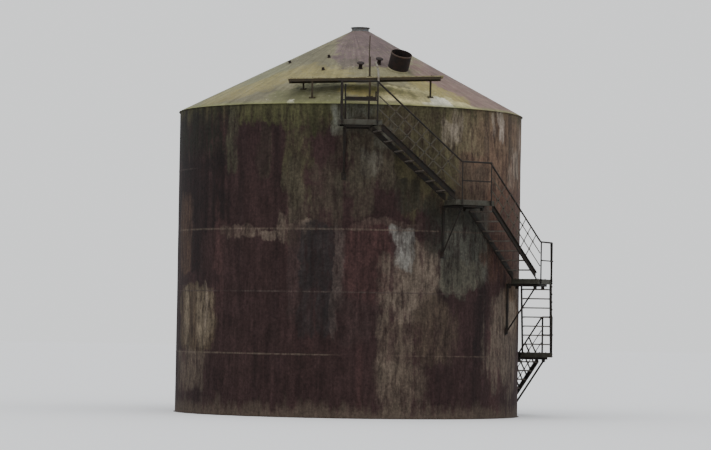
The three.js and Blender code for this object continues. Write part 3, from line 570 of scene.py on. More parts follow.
# The smaller steelwork shares one build: a dark base, rust blooms, and what has settled on it from above.
# Relief "chequered" gives the landings and treads their raised bars, 30 mm apart.
steelLooks = {
    "rustedHandrailSteel": {"base": "#14120d", "bloom": "#261c15", "settled": "#2f2b23", "metallic": 0.1},
    "dullInfillSteel": {"base": "#3c392f", "bloom": "#40372c", "settled": "#5c5748", "metallic": 0.1},
    "dullEdgeSteel": {"base": "#3b3a31", "bloom": "#2f2a22", "settled": "#6a685c", "metallic": 0.1},
    "weatheredStairSteel": {"base": "#57514a", "bloom": "#4a3f37", "settled": "#777066", "metallic": 0.1,
                            "relief": "chequered"},
    "mossyWalkwaySteel": {"base": "#2c261a", "bloom": "#3b3020", "settled": "#5b5339", "metallic": 0.1},
    "lichenDeckSteel": {"base": "#8a8260", "bloom": "#5c5238", "settled": "#6c664b", "metallic": 0.0},
    "dullGalvanisedSteel": {"base": "#5d6163", "bloom": "#554c42", "settled": "#73777a", "metallic": 0.3},
    "darkCrownPlate": {"base": "#2b2d2c", "bloom": "#3d342c", "settled": "#4c4e4b", "metallic": 0.2},
    "darkNeckSteel": {"base": "#17110f", "bloom": "#2b1d17", "settled": "#3a302a", "metallic": 0.1},
    # the rim's paler colours are partly wear and partly a painted highlight along the manhole neck's top edge
    "wornRimSteelWithPaintedHighlight": {"base": "#453a33", "bloom": "#5a4336", "settled": "#766a5e", "metallic": 0.2},
    "paleBarePipe": {"base": "#8f8b80", "bloom": "#665746", "settled": "#a9a598", "metallic": 0.4},
    "dampBottomSteel": {"base": "#2e2622", "bloom": "#463528", "settled": "#4d4538", "metallic": 0.1},
}


def makeSteel(name):
    look = steelLooks[name]
    material, tree = newMaterial(name)
    position = addNode(tree, "TexCoord").outputs["Object"]
    blooms = addNode(tree, "TexNoise", {"Vector": position, "Scale": 9.0, "Detail": 8.0, "Roughness": 0.7})
    specks = addNode(tree, "TexNoise", {"Vector": position, "Scale": 45.0, "Detail": 5.0, "Roughness": 0.6})
    pits = addNode(tree, "TexVoronoi", {"Vector": position, "Scale": 110.0}).outputs["Distance"]
    up = addNode(tree, "SeparateXYZ", {0: addNode(tree, "NewGeometry").outputs["Normal"]}).outputs["Z"]
    colour = addTint(tree, linear(look["base"]), look["bloom"], blooms, 0.42, 0.62)
    dusty = addNode(tree, "MapRange", {"Value": up, "From Min": 0.2, "From Max": 1.0, "To Max": 0.75})
    speckled = addNode(tree, "MapRange", {"Value": specks, "From Min": 0.35, "From Max": 0.65})
    dusty = addNode(tree, "Math", {0: dusty, 1: speckled}, operation="MULTIPLY")
    colour = addNode(tree, "Mix", {"Factor": dusty, 6: colour, 7: linear(look["settled"])}, data_type="RGBA")
    rough = addNode(tree, "MapRange", {"Value": blooms, "To Min": 0.6, "To Max": 0.95})
    relief = addNode(tree, "Math", {0: specks, 1: pits}, operation="ADD")
    if look.get("relief") == "chequered":
        lozenges = addNode(tree, "TexBrick", {"Vector": position, "Scale": 33.0, "Mortar Size": 0.2,
                                              "Mortar Smooth": 0.6, "Brick Width": 1.0, "Row Height": 0.55})
        raised = addNode(tree, "Math", {0: lozenges.outputs["Fac"], 1: 0.5}, operation="LESS_THAN")
        relief = addNode(tree, "Math", {0: relief, 1: raised}, operation="ADD")
    finishMaterial(tree, colour, rough, relief, 0.0015, look["metallic"], gloss=0.3)
    return material


shellSteel = {number: makeShellSteel(number) for number in range(1, tank["courses"] + 1)}
roofSteel = makeRoofSteel()
steel = {name: makeSteel(name) for name in steelLooks}
print("materials made")


def paintBare(parts, name):  # paints the parts that have no finish yet, and joins them all
    for part in parts:
        if not part.data.materials:
            paint(part, steel[name])
    return joinUp(parts)


def paintAll(piece, name):  # one finish in place of several
    paint(piece, steel[name])
    for face in piece.data.polygons:
        face.material_index = 0


# Floor, light and camera

floorLook = {"colour": "#f3f2f0", "radius": 260}


def makeFloor():
    bpy.ops.mesh.primitive_circle_add(vertices=96, radius=floorLook["radius"], fill_type="NGON")
    floor = bpy.context.object
    floor.name = "studioFloor"
    material, tree = newMaterial("palePlasterFloor")
    position = addNode(tree, "TexCoord").outputs["Object"]
    grain = addNode(tree, "TexNoise", {"Vector": position, "Scale": 3.0, "Detail": 4.0})
    finishMaterial(tree, linear(floorLook["colour"]), 0.95, grain, 0.002, gloss=0.1)
    floor.data.materials.append(material)


# An even, cloudy-day studio: light from all round, a wide soft key from the front left and a weaker one from
# the right.
studio = {"light": "#e9edf3", "strength": 1.15, "backdrop": "#eceeef", "backdropStrength": 1.30}
lights = {
    # name: (strength, angular size in degrees, where it comes from)
    "softKey": (1.0, 75, (-0.40, -0.80, 0.85)),
    "softFill": (0.50, 75, (0.85, -0.6, 0.7)),
}


def makeLights():
    world = bpy.data.worlds.new("paleStudio")
    bpy.context.scene.world = world
    world.use_nodes = True
    tree = world.node_tree
    tree.nodes.clear()
    light = addNode(tree, "Background", {"Color": linear(studio["light"]), "Strength": studio["strength"]})
    seen = addNode(tree, "Background", {"Color": linear(studio["backdrop"]),
                                        "Strength": studio["backdropStrength"]})
    direct = addNode(tree, "LightPath").outputs["Is Camera Ray"]
    both = addNode(tree, "MixShader", {0: direct, 1: light, 2: seen})
    addNode(tree, "OutputWorld", {"Surface": both})
    for name, (strength, size, source) in lights.items():
        bpy.ops.object.light_add(type="SUN", location=(0, 0, 30))
        light = bpy.context.object
        light.name = name
        light.data.energy = strength
        light.data.angle = deg(size)
        light.rotation_euler = Vector(source).to_track_quat("Z", "Y").to_euler()


view = {"place": (0, -79.05, 2.18), "target": (0.16, 0, 4.72), "lens": 160, "roll": 0.95}


def makeCamera():
    bpy.ops.object.camera_add(location=view["place"])
    camera = bpy.context.object
    camera.name = "viewpoint"
    aim = (Vector(view["target"]) - Vector(view["place"])).to_track_quat("-Z", "Y")
    camera.rotation_euler = (aim.to_matrix() @ Matrix.Rotation(deg(view["roll"]), 3, "Z")).to_euler()
    camera.data.lens = view["lens"]
    camera.data.clip_end = 1000
    bpy.context.scene.camera = camera


makeFloor()
makeLights()
makeCamera()
print("floor, lights and camera made")


# The shell: a ring with its welds, copied for each course and then dented a little

shellWelds = {"perCourse": 5, "halfWidth": 0.009, "height": 0.0025, "firstTurn": 12.5, "turnPerCourse": 28.75,
              "rows": 10, "dent": 0.010, "dentSize": 1.3}


def makeShellRing():
    w = shellWelds
    bpy.ops.mesh.primitive_circle_add(vertices=tank["steps"], radius=tank["outer"])
    ring = bpy.context.object
    openUp(ring)
    seams = [deg(360 / w["perCourse"]) * k for k in range(w["perCourse"])]
    points = [Vector((math.sin(a), -math.cos(a), 0)) * tank["outer"] for a in seams]
    choose(ring, "VERT", lambda m: any((m - p).length < 0.02 for p in points))
    bpy.ops.mesh.bevel(offset=w["halfWidth"], segments=3, affect="VERTICES")
    choose(ring, "VERT", lambda m: any((m - p).length < w["halfWidth"] * 0.6 for p in points))
    grow = 1 + w["height"] / tank["outer"]
    bpy.ops.transform.resize(value=(grow, grow, 1))
    bead = w["halfWidth"]
    tall = tank["course"] - 4 * bead
    steps = [bead * 0.6, bead * 1.4] + [tall / w["rows"]] * w["rows"] + [bead * 1.4, bead * 0.6]
    bpy.ops.mesh.select_all(action="SELECT")
    for step in steps:
        drag(z=step)
    choose(ring, "VERT", lambda m: m.z < bead * 0.7 or m.z > tank["course"] - bead * 0.7)
    bpy.ops.transform.resize(value=(grow, grow, 1), center_override=(0, 0, 0))
    closeUp()
    return ring


def dent(piece, strength, size):
    texture = bpy.data.textures.get("dents%g" % size) or bpy.data.textures.new("dents%g" % size, "CLOUDS")
    texture.noise_scale = size
    modify(piece, "DISPLACE", texture=texture, texture_coords="LOCAL", strength=strength, mid_level=0.5)


def makeShell():
    ring = makeShellRing()
    for number in range(1, tank["courses"] + 1):
        up = Matrix.Translation((0, 0, tank["foot"] + (number - 1) * tank["course"]))
        turn = shellWelds["turnPerCourse"] * (number - 1) + shellWelds["firstTurn"]
        course = copyOf(ring, up @ Matrix.Rotation(deg(turn), 4, "Z"))
        faceOutward(course)
        dent(course, shellWelds["dent"], shellWelds["dentSize"])
        modify(course, "SOLIDIFY", thickness=tank["plate"], offset=-1)
        paint(course, shellSteel[number])
        handOver("shellCourse%d" % number, [course], "shell", "shell_course_%d" % number)
    bpy.data.objects.remove(ring)


makeShell()
print("shell made")


# The roof: one sheet is spun, lapped over its neighbour, and copied round

roofSheet = {"rows": 22, "columns": 36, "lap": 0.035, "lapRise": 0.005, "dent": 0.014, "dentSize": 0.9}
neck = {"fromAxis": 2.325, "angle": 26.4, "radius": 0.255, "wall": 0.006, "length": 0.410, "pad": 0.290,
        "padPlate": 0.008, "gap": 0.0005, "weld": 0.022, "band": 0.030, "bandPlate": 0.007}


def makeRoof():
    s = roofSheet
    inner, outer = tank["crownHole"], tank["eaveRadius"]
    radii = [outer + (inner - outer) * k / s["rows"] for k in range(s["rows"] + 1)]
    sheet = traceLine([(0, -r, roofHeight(r)) for r in radii])
    bpy.ops.mesh.select_all(action="SELECT")
    bpy.ops.mesh.spin(steps=s["columns"], angle=deg(360 / tank["sheets"]), center=(0, 0, 0), axis=(0, 0, 1))
    turned = max((v.co.x for v in bmesh.from_edit_mesh(sheet.data).verts), key=abs) > 0
    side = 1 if turned else -1
    choose(sheet, "EDGE", lambda m: abs(math.atan2(side * m.x, -m.y) - deg(360 / tank["sheets"])) < 0.001)
    edge = deg(360 / tank["sheets"])
    along = Vector((side * math.cos(edge), math.sin(edge), 0))
    for run, rise in ((0.004, s["lapRise"]), (s["lap"], 0), (0.004, -s["lapRise"] * 0.7)):
        drag(along.x * run, along.y * run, rise)
    bpy.ops.mesh.select_all(action="SELECT")
    bpy.ops.mesh.remove_doubles(threshold=0.0001)
    bpy.ops.mesh.normals_make_consistent(inside=False)
    closeUp()
    for number in range(1, tank["sheets"] + 1):
        turn = deg(360 / tank["sheets"]) * (number - 1 if side > 0 else number)
        piece = copyOf(sheet, Matrix.Rotation(turn, 4, "Z"))
        dent(piece, s["dent"], s["dentSize"])
        if piece.data.polygons[len(piece.data.polygons) // 2].normal.z < 0:
            openUp(piece)
            bpy.ops.mesh.select_all(action="SELECT")
            bpy.ops.mesh.flip_normals()
            closeUp()
        modify(piece, "SOLIDIFY", thickness=tank["roofPlate"], offset=-1)
        leaned(piece)
        if number == 1:
            bpy.ops.mesh.primitive_cylinder_add(vertices=72, radius=neck["radius"] - neck["wall"], depth=0.8)
            cutter = settle(bpy.context.object, onRoof(neck["fromAxis"], neck["angle"]))
            modify(piece, "BOOLEAN", object=cutter, operation="DIFFERENCE", solver="EXACT")
            bpy.data.objects.remove(cutter)
        paint(piece, roofSteel)
        handOver("roofSheet%d" % number, [piece], "roof", "roof_sheet_%d" % number)
    bpy.data.objects.remove(sheet)


makeRoof()
print("roof made")


# Rings: the bottom plate with its foot weld, the eave angle, the crown, and what stands on the roof

boltModel = hexBolt()
boltModel.name = "boltModel"
paint(boltModel, steel["rustedHandrailSteel"])

rings = {"chime": 0.040, "footWeld": 0.009, "eaveLeg": 0.030, "eavePlate": 0.005}
crown = {"radius": 0.240, "height": 0.105, "stem": 0.215, "stemPlate": 0.006, "flange": 0.022, "weld": 0.014,
         "bolts": 12, "boltsIn": 0.020}
nozzle = {"stem": 0.045, "weld": 0.014, "length": 0.150, "flange": 0.090, "plate": 0.020, "groove": 0.003,
          "bolts": 4, "boltsIn": 0.022, "places": ((2.380, 2.9), (2.115, 15.2))}
socket = {"radius": 0.034, "weld": 0.012, "height": 0.055, "wall": 0.008, "depth": 0.012, "key": 0.014,
          "keyHeight": 0.030, "places": ((1.76, -22.7), (2.47, -18.4), (1.98, -55.6))}


def ringOfBolts(count, radius, height):
    angles = [2 * math.pi * k / count + 0.2 for k in range(count)]
    return boltsAt([(radius * math.cos(a), radius * math.sin(a), height) for a in angles], (0, 0, 1))


def makeRings():
    edge = tank["outer"] + rings["chime"]
    foot = tank["foot"]
    fillet = rings["footWeld"]
    bottom = lathe([(0, foot), (tank["outer"], foot), (tank["outer"], foot + fillet),
                    (tank["outer"] + fillet * 0.7, foot + fillet * 0.6), (tank["outer"] + fillet, foot),
                    (edge, foot), (edge, 0), (0, 0)], tank["steps"])
    paint(bottom, steel["dampBottomSteel"])
    handOver("bottomPlate", [bottom], "bottom", "bottom_plate")

    low = tank["eave"] - rings["eaveLeg"]
    flat = tank["eave"] - rings["eavePlate"]
    inner = tank["outer"] + seatGap
    eave = lathe([(inner, low), (inner + rings["eavePlate"], low), (inner + rings["eavePlate"], flat),
                  (tank["eaveRadius"], flat), (tank["eaveRadius"], tank["eave"]), (inner, tank["eave"]),
                  (inner, low)], tank["steps"])
    paint(eave, shellSteel[tank["courses"]])
    handOver("eaveAngle", [eave], "shell", "eave_angle")

    c = crown
    top = roofHeight(c["radius"]) + c["height"]
    under = top - c["flange"]
    joint = top - c["flange"] / 2
    stem, weld = c["stem"], c["weld"]
    seat = roofHeight(stem)
    inside = stem - c["stemPlate"]
    upstand = lathe([(inside, seat - 0.002), (stem, seat - 0.002), (stem, under), (inside, under),
                     (inside, seat - 0.002)], 96)
    cap = lathe([(0, under), (c["radius"], under), (c["radius"], joint), (c["radius"] - 0.003, joint),
                 (c["radius"], joint), (c["radius"], top), (0, top)], 96, 0.002)
    collar = lathe([(stem + weld, roofHeight(stem + weld)), (stem + 0.010, seat + 0.006),
                    (stem, seat + weld)], 96)
    paint(cap, steel["darkCrownPlate"])
    paint(upstand, steel["dullGalvanisedSteel"])
    paint(collar, steel["dullGalvanisedSteel"])
    bolts = ringOfBolts(c["bolts"], c["radius"] - c["boltsIn"], top - 0.012)
    handOver("crownCap", [leaned(joinUp([cap, upstand, collar] + bolts))], "crown", "crown_cap")


def makeNeck():
    n = neck
    outer, top, gap = n["radius"], n["length"], n["gap"]
    inner = outer - n["wall"]
    tube = lathe([(inner, -0.030), (inner, top), (outer, top), (outer, gap), (inner + 0.001, gap)], 96)
    pad = lathe([(outer + gap, n["weld"]), (outer + 0.012, n["padPlate"]), (n["pad"] - 0.004, n["padPlate"]),
                 (n["pad"], gap), (outer + gap, gap)], 96)
    band = lathe([(outer - 0.0055, top + 0.002), (outer + n["bandPlate"], top + 0.002),
                  (outer + n["bandPlate"], top - n["band"]), (outer, top - n["band"])], 96, 0.002)
    paint(tube, steel["darkNeckSteel"])
    # the band at the neck's top is paler partly from wear and partly as a painted highlight
    paint(band, steel["wornRimSteelWithPaintedHighlight"])
    paint(pad, roofSteel)
    tube = joinUp([tube, band, pad])
    settle(tube, onRoof(n["fromAxis"], n["angle"]))
    handOver("manholeNeck", [tube], "neck", "manhole_neck")


def placeOnRoof(model, name, places, node=None):  # copies of the model, standing square to the roof
    for number, (fromAxis, angle) in enumerate(places, 1):
        nodes = [node % number] if node else []
        handOver("%s%d" % (name, number), [copyOf(model, onRoof(fromAxis, angle))], "neck", *nodes)
    bpy.data.objects.remove(model)


def makeNozzles():
    n = nozzle
    stem, flange, face = n["stem"], n["flange"], n["length"]
    under = face - n["plate"]
    middle = face - n["plate"] / 2
    body = lathe([(stem + n["weld"], 0.0), (stem + 0.008, 0.006), (stem, n["weld"]), (stem, under),
                  (flange, under), (flange, middle - 0.001), (flange - n["groove"], middle),
                  (flange, middle + 0.001), (flange, face), (0, face)], 48, 0.0015)
    paint(body, steel["darkNeckSteel"])
    nuts = ringOfBolts(n["bolts"], flange - n["boltsIn"], 0)
    turnOver = Matrix.Translation((0, 0, under)) @ Matrix.Rotation(math.pi, 4, "X")
    model = joinUp([body] + [settle(nut, turnOver) for nut in nuts])
    placeOnRoof(model, "roofNozzle", n["places"], "roof_nozzle_%d")


def makeSockets():
    s = socket
    inner, floor = s["radius"] - s["wall"], s["height"] - s["depth"]
    body = lathe([(s["radius"] + s["weld"], 0), (s["radius"], 0.010), (s["radius"], s["height"]),
                  (inner, s["height"]), (inner, floor), (0, floor)], 32, 0.0015)
    bpy.ops.mesh.primitive_cylinder_add(vertices=4, radius=s["key"], depth=s["keyHeight"],
                                        location=(0, 0, s["height"]))
    key = settle(bpy.context.object)
    modify(key, "BEVEL", width=0.002, segments=2)
    paint(body, steel["darkNeckSteel"])
    paint(key, steel["darkNeckSteel"])
    placeOnRoof(joinUp([body, key]), "roofSocket", s["places"])


makeRings()
makeNeck()
makeNozzles()
makeSockets()
print("rings, neck and nozzles made")


# Stair: each landing and flight is built at the front, then turned to its place

landing = {"inner": 4.400, "outer": 5.160, "half": 0.455, "freeEnd": 0.460, "plate": 0.006, "edge": 0.120,
           "edgePlate": 0.006, "edgeFlange": 0.050, "boltsIn": 0.090}
support = {"spread": 0.290, "leg": 0.050, "plate": 0.006, "arm": 0.060, "drop": 1.230, "reach": 5.110,
           "strut": 0.045, "strutFoot": (0.02, 0.05), "strutHead": (0.06, 0.03), "gusset": 0.090,
           "wallGusset": (0.075, 0.075), "endGusset": (0.105, 0.078), "boltHalf": 0.022,
           "boltDrop": 0.035, "tie": 0.055, "tieFlange": 0.045, "tieIn": 0.021, "foot": 0.120,
           "footPlate": 0.008, "footBelow": 0.03, "footAbove": 0.15}
guard = {"height": 0.900, "slopeHeight": 0.800, "midBelow": 0.310, "pipe": 0.021, "bend": 0.025,
         "radius": 5.1803, "left": -0.419, "right": 0.451, "endIn": 0.080, "overhang": 0.020, "post": 0.040,
         "postPlate": 0.005, "boltsUp": (0.030, 0.085), "foot": 0.070, "footPlate": 0.008,
         "footBolt": 0.022, "flat": 0.036, "flatPlate": 0.006, "flatOut": 0.026, "endInner": 0.040,
         "endOuter": 0.030, "inside": 0.020, "lastIn": 0.020, "bendIn": 0.03, "turnDown": (0.04, 0.10),
         "toeIn": 0.030, "toePlate": 0.008, "thinFlat": 0.035, "thinIn": 0.04, "thinOut": 0.020,
         "posts": 7, "postIn": 0.030, "postOut": 0.014, "thinPost": 0.030, "thinPlate": 0.004}
flight = {"depth": 0.120, "web": 0.006, "flange": 0.050, "below": 0.080, "pastLast": 0.6, "treadDepth": 0.250,
          "treadPlate": 0.005, "lip": 0.035, "clip": 0.036, "clipHalf": 0.090, "clipDrop": 0.024,
          "clipBolt": 0.060}


def landingCorners(number):
    tilt = math.tan(deg(stair["between"] / 2))
    middle = (landing["inner"] + landing["outer"]) / 2
    outerHalf = landing["half"] + (landing["outer"] - middle) * tilt
    innerHalf = landing["half"] + (landing["inner"] - middle) * tilt
    outerLeft, innerLeft = (landing["freeEnd"],) * 2 if number == 1 else (outerHalf, innerHalf)
    return [(-outerLeft, -landing["outer"]), (outerHalf, -landing["outer"]), (innerHalf, -landing["inner"]),
            (-innerLeft, -landing["inner"])]


def makeLandingDeck(number):
    corners = landingCorners(number)
    outer, inner = -landing["outer"], -landing["inner"]
    centre = Vector((0, (outer + inner) / 2, 0))
    deckPlate = plate([(x, y, 0) for x, y in corners], landing["plate"])
    parts = [paint(deckPlate, steel["weatheredStairSteel"])]
    level = -landing["edge"] / 2 - 0.001
    for (x0, y0), (x1, y1) in zip(corners, corners[1:] + corners[:1]):
        start, end = Vector((x0, y0, level)), Vector((x1, y1, level))
        inward = centre - (start + end) / 2
        inward.z = 0
        edge = bar(start, end, inward, landing["edge"] - 0.002, (landing["edgeFlange"],) * 2,
                   landing["edgePlate"])
        parts.append(paint(edge, steel["dullEdgeSteel"]))
    for x in (-support["spread"], support["spread"]):
        places = [(x, outer + landing["boltsIn"], 0), (x, inner - landing["boltsIn"], 0)]
        parts += boltsAt(places, (0, 0, 1))
    return joinUp(parts)


def makeBracket():
    s = support
    top = -landing["edge"] - seatGap
    foot = top - s["drop"]
    wall = -tank["outer"] - 0.001
    beside = wall - s["leg"] / 2
    half = s["gusset"] / 2
    wallIn, wallDrop = s["wallGusset"]
    endIn, endDrop = s["endGusset"]
    strutIn, strutUp = s["strutFoot"]
    headIn, headDrop = s["strutHead"]
    parts = []
    for side in (-1, 1):
        x = side * (s["spread"] + s["leg"] / 2)
        inner = side * (s["spread"] + s["leg"] / 2 - s["plate"])
        inward = (-side, 0, 0)
        level = top - s["arm"] / 2
        parts.append(bar((x, -s["reach"], level), (x, wall, level), inward, s["arm"], (s["leg"], 0),
                         s["plate"]))
        for y, z in ((wall - wallIn, top - wallDrop), (-s["reach"] + endIn, top - endDrop)):
            parts.append(bar((inner, y - half, z), (inner, y + half, z), inward, s["gusset"], (0, 0),
                             s["plate"]))
            places = [(x + side * 0.0005, y + step, top - s["boltDrop"])
                      for step in (-s["boltHalf"], s["boltHalf"])]
            parts += boltsAt(places, (side, 0, 0))
        if side < 0:  # only this arm has a leg down the shell and a strut
            parts.append(bar((x, beside, foot), (x, beside, top), inward, s["leg"], (s["leg"], 0),
                             s["plate"]))
            parts.append(bar((inner, wall - strutIn, foot + strutUp),
                             (inner, -s["reach"] + headIn, top - headDrop), inward, s["strut"],
                             (0, s["strut"]), s["plate"]))
            parts.append(bar((-s["spread"], wall, foot - s["footBelow"]),
                             (-s["spread"], wall, foot + s["footAbove"]), (0, -1, 0), s["foot"], (0, 0),
                             s["footPlate"]))
    level = top - s["tie"] / 2
    for y in (-s["reach"] + 0.001, wall - s["leg"] - s["tieIn"]):
        parts.append(bar((-s["spread"], y, level), (s["spread"], y, level), (0, 1, 0), s["tie"],
                         (0, s["tieFlange"]), s["plate"]))
    return paintBare(parts, "rustedHandrailSteel")


def guardPost(x, y, low, high):  # an angle post with its two bolts
    g = guard
    y -= g["post"] / 2
    post = bar((x, y, low), (x, y, high), (0, 1, 0), g["post"], (g["post"], 0), g["postPlate"])
    return [post] + boltsAt([(x, y, low + up) for up in g["boltsUp"]], (0, -1, 0))


def makeLandingGuard(number):
    g = guard
    y, low, high = -g["radius"], -landing["edge"], g["height"]
    left = start = g["left"]
    if number == 1:
        left = -landing["freeEnd"] + g["endIn"]
        start = -landing["freeEnd"] - g["overhang"]
    parts = guardPost(left, y, low, high) + guardPost(g["right"], y, low, high)
    parts.append(pipe([(start, y, high), (g["right"], y, high)], g["pipe"]))
    ends = [(x, y - g["flatOut"], high / 2) for x in (left, g["right"])]
    parts.append(bar(*ends, (0, 1, 0), g["flat"], (0, 0), g["flatPlate"]))
    parts += boltsAt(ends, (0, -1, 0))
    return paintBare(parts, "rustedHandrailSteel")


def makeEndGuard():
    g = guard
    x = -landing["freeEnd"] + g["endIn"]
    inner, outer = -landing["inner"] - g["endInner"], -landing["outer"] + g["endOuter"]
    edge = x - g["post"] / 2
    half, bolts = g["foot"] / 2, g["footBolt"]
    parts = []
    for y in (inner, outer):
        parts.append(bar((edge, y, seatGap), (edge, y, g["height"]), (1, 0, 0), g["post"], (g["post"], 0),
                         g["postPlate"]))
        parts.append(bar((x - half, y, seatGap), (x + half, y, seatGap), (0, 0, 1), g["foot"], (0, 0),
                         g["footPlate"]))
        places = [(x + bolts, y + bolts, g["footPlate"]), (x + bolts, y - bolts, g["footPlate"])]
        parts += boltsAt(places, (0, 0, 1))
    parts.append(pipe([(x, inner, g["height"]), (x, outer, g["height"])], g["pipe"]))
    ends = [(edge - g["flatPlate"], y, g["height"] / 2) for y in (outer, inner)]
    parts.append(bar(*ends, (1, 0, 0), g["flat"], (0, 0), g["flatPlate"]))
    return paintBare(parts, "rustedHandrailSteel")


roofStep = {"left": -0.300, "right": 0.290, "treadLeft": -0.300, "treadRight": 0.450, "height": 0.575,
            "tread": 0.070, "plate": 0.006, "front": 4.620, "back": 4.400, "bar": 0.036, "barPlate": 0.005,
            "foot": 0.060, "tallPost": 0.890, "upright": 0.135}


def makeRoofStep():
    s = roofStep
    half, foot = s["bar"] / 2, s["foot"] / 2
    front, back, middle = -s["front"] + half, -s["back"] - half, -(s["front"] + s["back"]) / 2
    top = s["height"]
    under = top - s["plate"]
    parts = [bar((s["treadLeft"], middle, top), (s["treadRight"], middle, top), (0, 0, -1),
                 s["front"] - s["back"], (s["tread"], s["tread"]), s["plate"])]
    for x, y, high in ((s["left"] + half, front, under), (s["left"] + half, back, s["tallPost"]),
                       (s["right"] - half, front, under), (s["right"] - half, back, under)):
        parts.append(bar((x - half, y, seatGap), (x - half, y, high), (1, 0, 0), s["bar"], (s["bar"], 0),
                         s["barPlate"]))
        parts.append(bar((x - foot, y, seatGap), (x + foot, y, seatGap), (0, 0, 1), s["foot"], (0, 0),
                         s["plate"]))
    x = s["treadRight"]
    parts.append(bar((x, front, top - 0.01), (x, front, top + s["upright"]), (-1, 0, 0), s["bar"],
                     (s["bar"], 0), s["barPlate"]))
    return paintBare(parts, "rustedHandrailSteel")


def sloping(piece, slope):  # leans a level bar to the slope, its ends staying upright
    for vertex in piece.data.vertices:
        vertex.co.z -= vertex.co.x * slope
    return piece


def makeFlight(risers, rise, toGround):
    f = flight
    going, halfRun, middle = stair["going"], stair["halfRun"], -stair["flightRadius"]
    slope = rise / going
    depth = f["depth"] / math.cos(math.atan(slope))
    level = -f["below"] - depth / 2 - halfRun * slope
    start = -halfRun + 0.001
    end = -halfRun + (risers - 1) * going - 0.001 + (f["pastLast"] * going if toGround else 0)
    parts = []
    for side in (-1, 1):
        y = middle + side * (stair["halfWidth"] - f["flange"] - 0.0005)
        channel = bar((start, y, level), (end, y, level), (0, side, 0), depth, (f["flange"],) * 2, f["web"])
        sloping(channel, slope)
        if toGround:
            openUp(channel)
            bpy.ops.mesh.select_all(action="SELECT")
            bpy.ops.mesh.bisect(plane_co=(0, 0, -stair["lowest"]), plane_no=(0, 0, 1), clear_inner=True,
                                use_fill=True)
            closeUp()
        parts.append(paint(channel, steel["rustedHandrailSteel"]))
    half = stair["halfWidth"] - f["flange"] - f["web"]
    for step in range(1, risers):
        x = -halfRun + step * going - f["treadDepth"] / 2
        z = -step * rise
        low = z - f["clipDrop"]
        tread = bar((x, middle - half, z), (x, middle + half, z), (0, 0, -1), f["treadDepth"],
                    (f["lip"],) * 2, f["treadPlate"])
        parts.append(paint(tread, steel["weatheredStairSteel"]))
        for side in (-1, 1):
            y = middle + side * half
            parts.append(bar((x - f["clipHalf"], y, low), (x + f["clipHalf"], y, low), (0, -side, 0),
                             f["clip"], (0, f["clip"]), f["treadPlate"]))
            outside = y + side * f["web"]
            parts += boltsAt([(x + k, outside, low) for k in (-f["clipBolt"], f["clipBolt"])], (0, side, 0))
    return paintBare(parts, "weatheredStairSteel")


def makeFlightGuard(number, risers, rise, toGround):
    g = guard
    going, halfRun = stair["going"], stair["halfRun"]
    slope = rise / going
    tilt = math.atan(slope)
    beside = -stair["flightRadius"] - stair["halfWidth"] + g["inside"]
    run = (risers - 1) * going
    kink = (g["height"] - g["slopeHeight"]) / slope
    first = -halfRun - kink
    last = -halfRun + run + (-g["lastIn"] if toGround else going - kink)

    def place(x, above, out=0.0):  # in the guard's plane, so far above the line of the nosings
        return x, beside - out, -(x + halfRun) * slope + above

    footFrom, footTo = -halfRun + g["toeIn"], -halfRun + run - g["toeIn"]
    low, high = -flight["below"] + 0.001, g["slopeHeight"]
    parts = [bar(place(footFrom, low), place(footTo, low), (slope, 0, 1), g["flat"], (0, 0),
                 g["toePlate"])]
    here = flightPlace(number).inverted()
    before = here @ landingPlace(number) @ Vector((g["right"], -g["radius"], g["height"]))
    path = [before, place(first + g["bendIn"], high)]
    if toGround:
        turnIn, drop = g["turnDown"]
        path += [place(last - turnIn, high), place(last, high - drop)]
    else:
        after = here @ landingPlace(number + 1) @ Vector((g["left"], -g["radius"], g["height"]))
        path += [place(last - g["bendIn"], high), after]
    parts.append(pipe(path, g["pipe"], g["bend"]))
    infill = []
    for above in (high - g["midBelow"], high - 2 * g["midBelow"]):
        ends = [place(x, above, g["thinOut"]) for x in (first + g["thinIn"], last - g["thinIn"])]
        infill.append(bar(*ends, (0, 1, 0), g["thinFlat"], (0, 0), g["flatPlate"]))
    footTop = -flight["below"] + 0.010 / math.cos(tilt)
    tall = (high - footTop) * math.cos(tilt)
    lean = Vector((math.sin(tilt), 0, math.cos(tilt)))
    room = footTo - footFrom - math.sin(tilt) * tall - 2 * g["postIn"]
    for post in range(g["posts"]):
        x = footFrom + g["postIn"] + post * room / (g["posts"] - 1)
        foot = Vector(place(x, footTop, g["postOut"]))
        infill.append(bar(foot, foot + lean * tall, (0, 1, 0), g["thinPost"], (g["thinPost"], 0),
                          g["thinPlate"]))
        crossings = [lean * (tall - k * g["midBelow"] * math.cos(tilt)) for k in (1, 2)]
        parts += boltsAt([foot + up + Vector((0, -0.012, 0)) for up in crossings], (0, -1, 0))
    return joinUp([paintBare(parts, "rustedHandrailSteel"), paintBare(infill, "dullInfillSteel")])


def makeStair():
    bracketModel = makeBracket()
    for number in range(1, stair["landings"] + 1):
        place = landingPlace(number)
        deck = settle(makeLandingDeck(number), place)
        handOver("landingDeck%d" % number, [deck], "stair", "landing_%d" % number)
        bracket = copyOf(bracketModel, place)
        handOver("landingBracket%d" % number, [bracket], "stair", "landing_bracket_%d" % number)
        rail = settle(makeLandingGuard(number), place)
        handOver("landingGuard%d" % number, [rail], "rail", "landing_guard_%d" % number)
        toGround = number == stair["landings"]
        risers = stair["lastRisers"] if toGround else stair["risers"]
        rise = stair["lowest"] / risers if toGround else stair["riser"]
        place = flightPlace(number)
        steps = settle(makeFlight(risers, rise, toGround), place)
        handOver("flight%d" % number, [steps], "stair", "flight_%d" % number)
        rail = settle(makeFlightGuard(number, risers, rise, toGround), place)
        handOver("flightGuard%d" % number, [rail], "rail", "flight_guard_%d" % number)
    bpy.data.objects.remove(bracketModel)
    place = landingPlace(1)
    handOver("endGuard", [settle(makeEndGuard(), place)], "rail", "landing_end_guard")
    handOver("roofStep", [settle(makeRoofStep(), place)], "rail", "roof_step")


makeStair()
print("stair made")


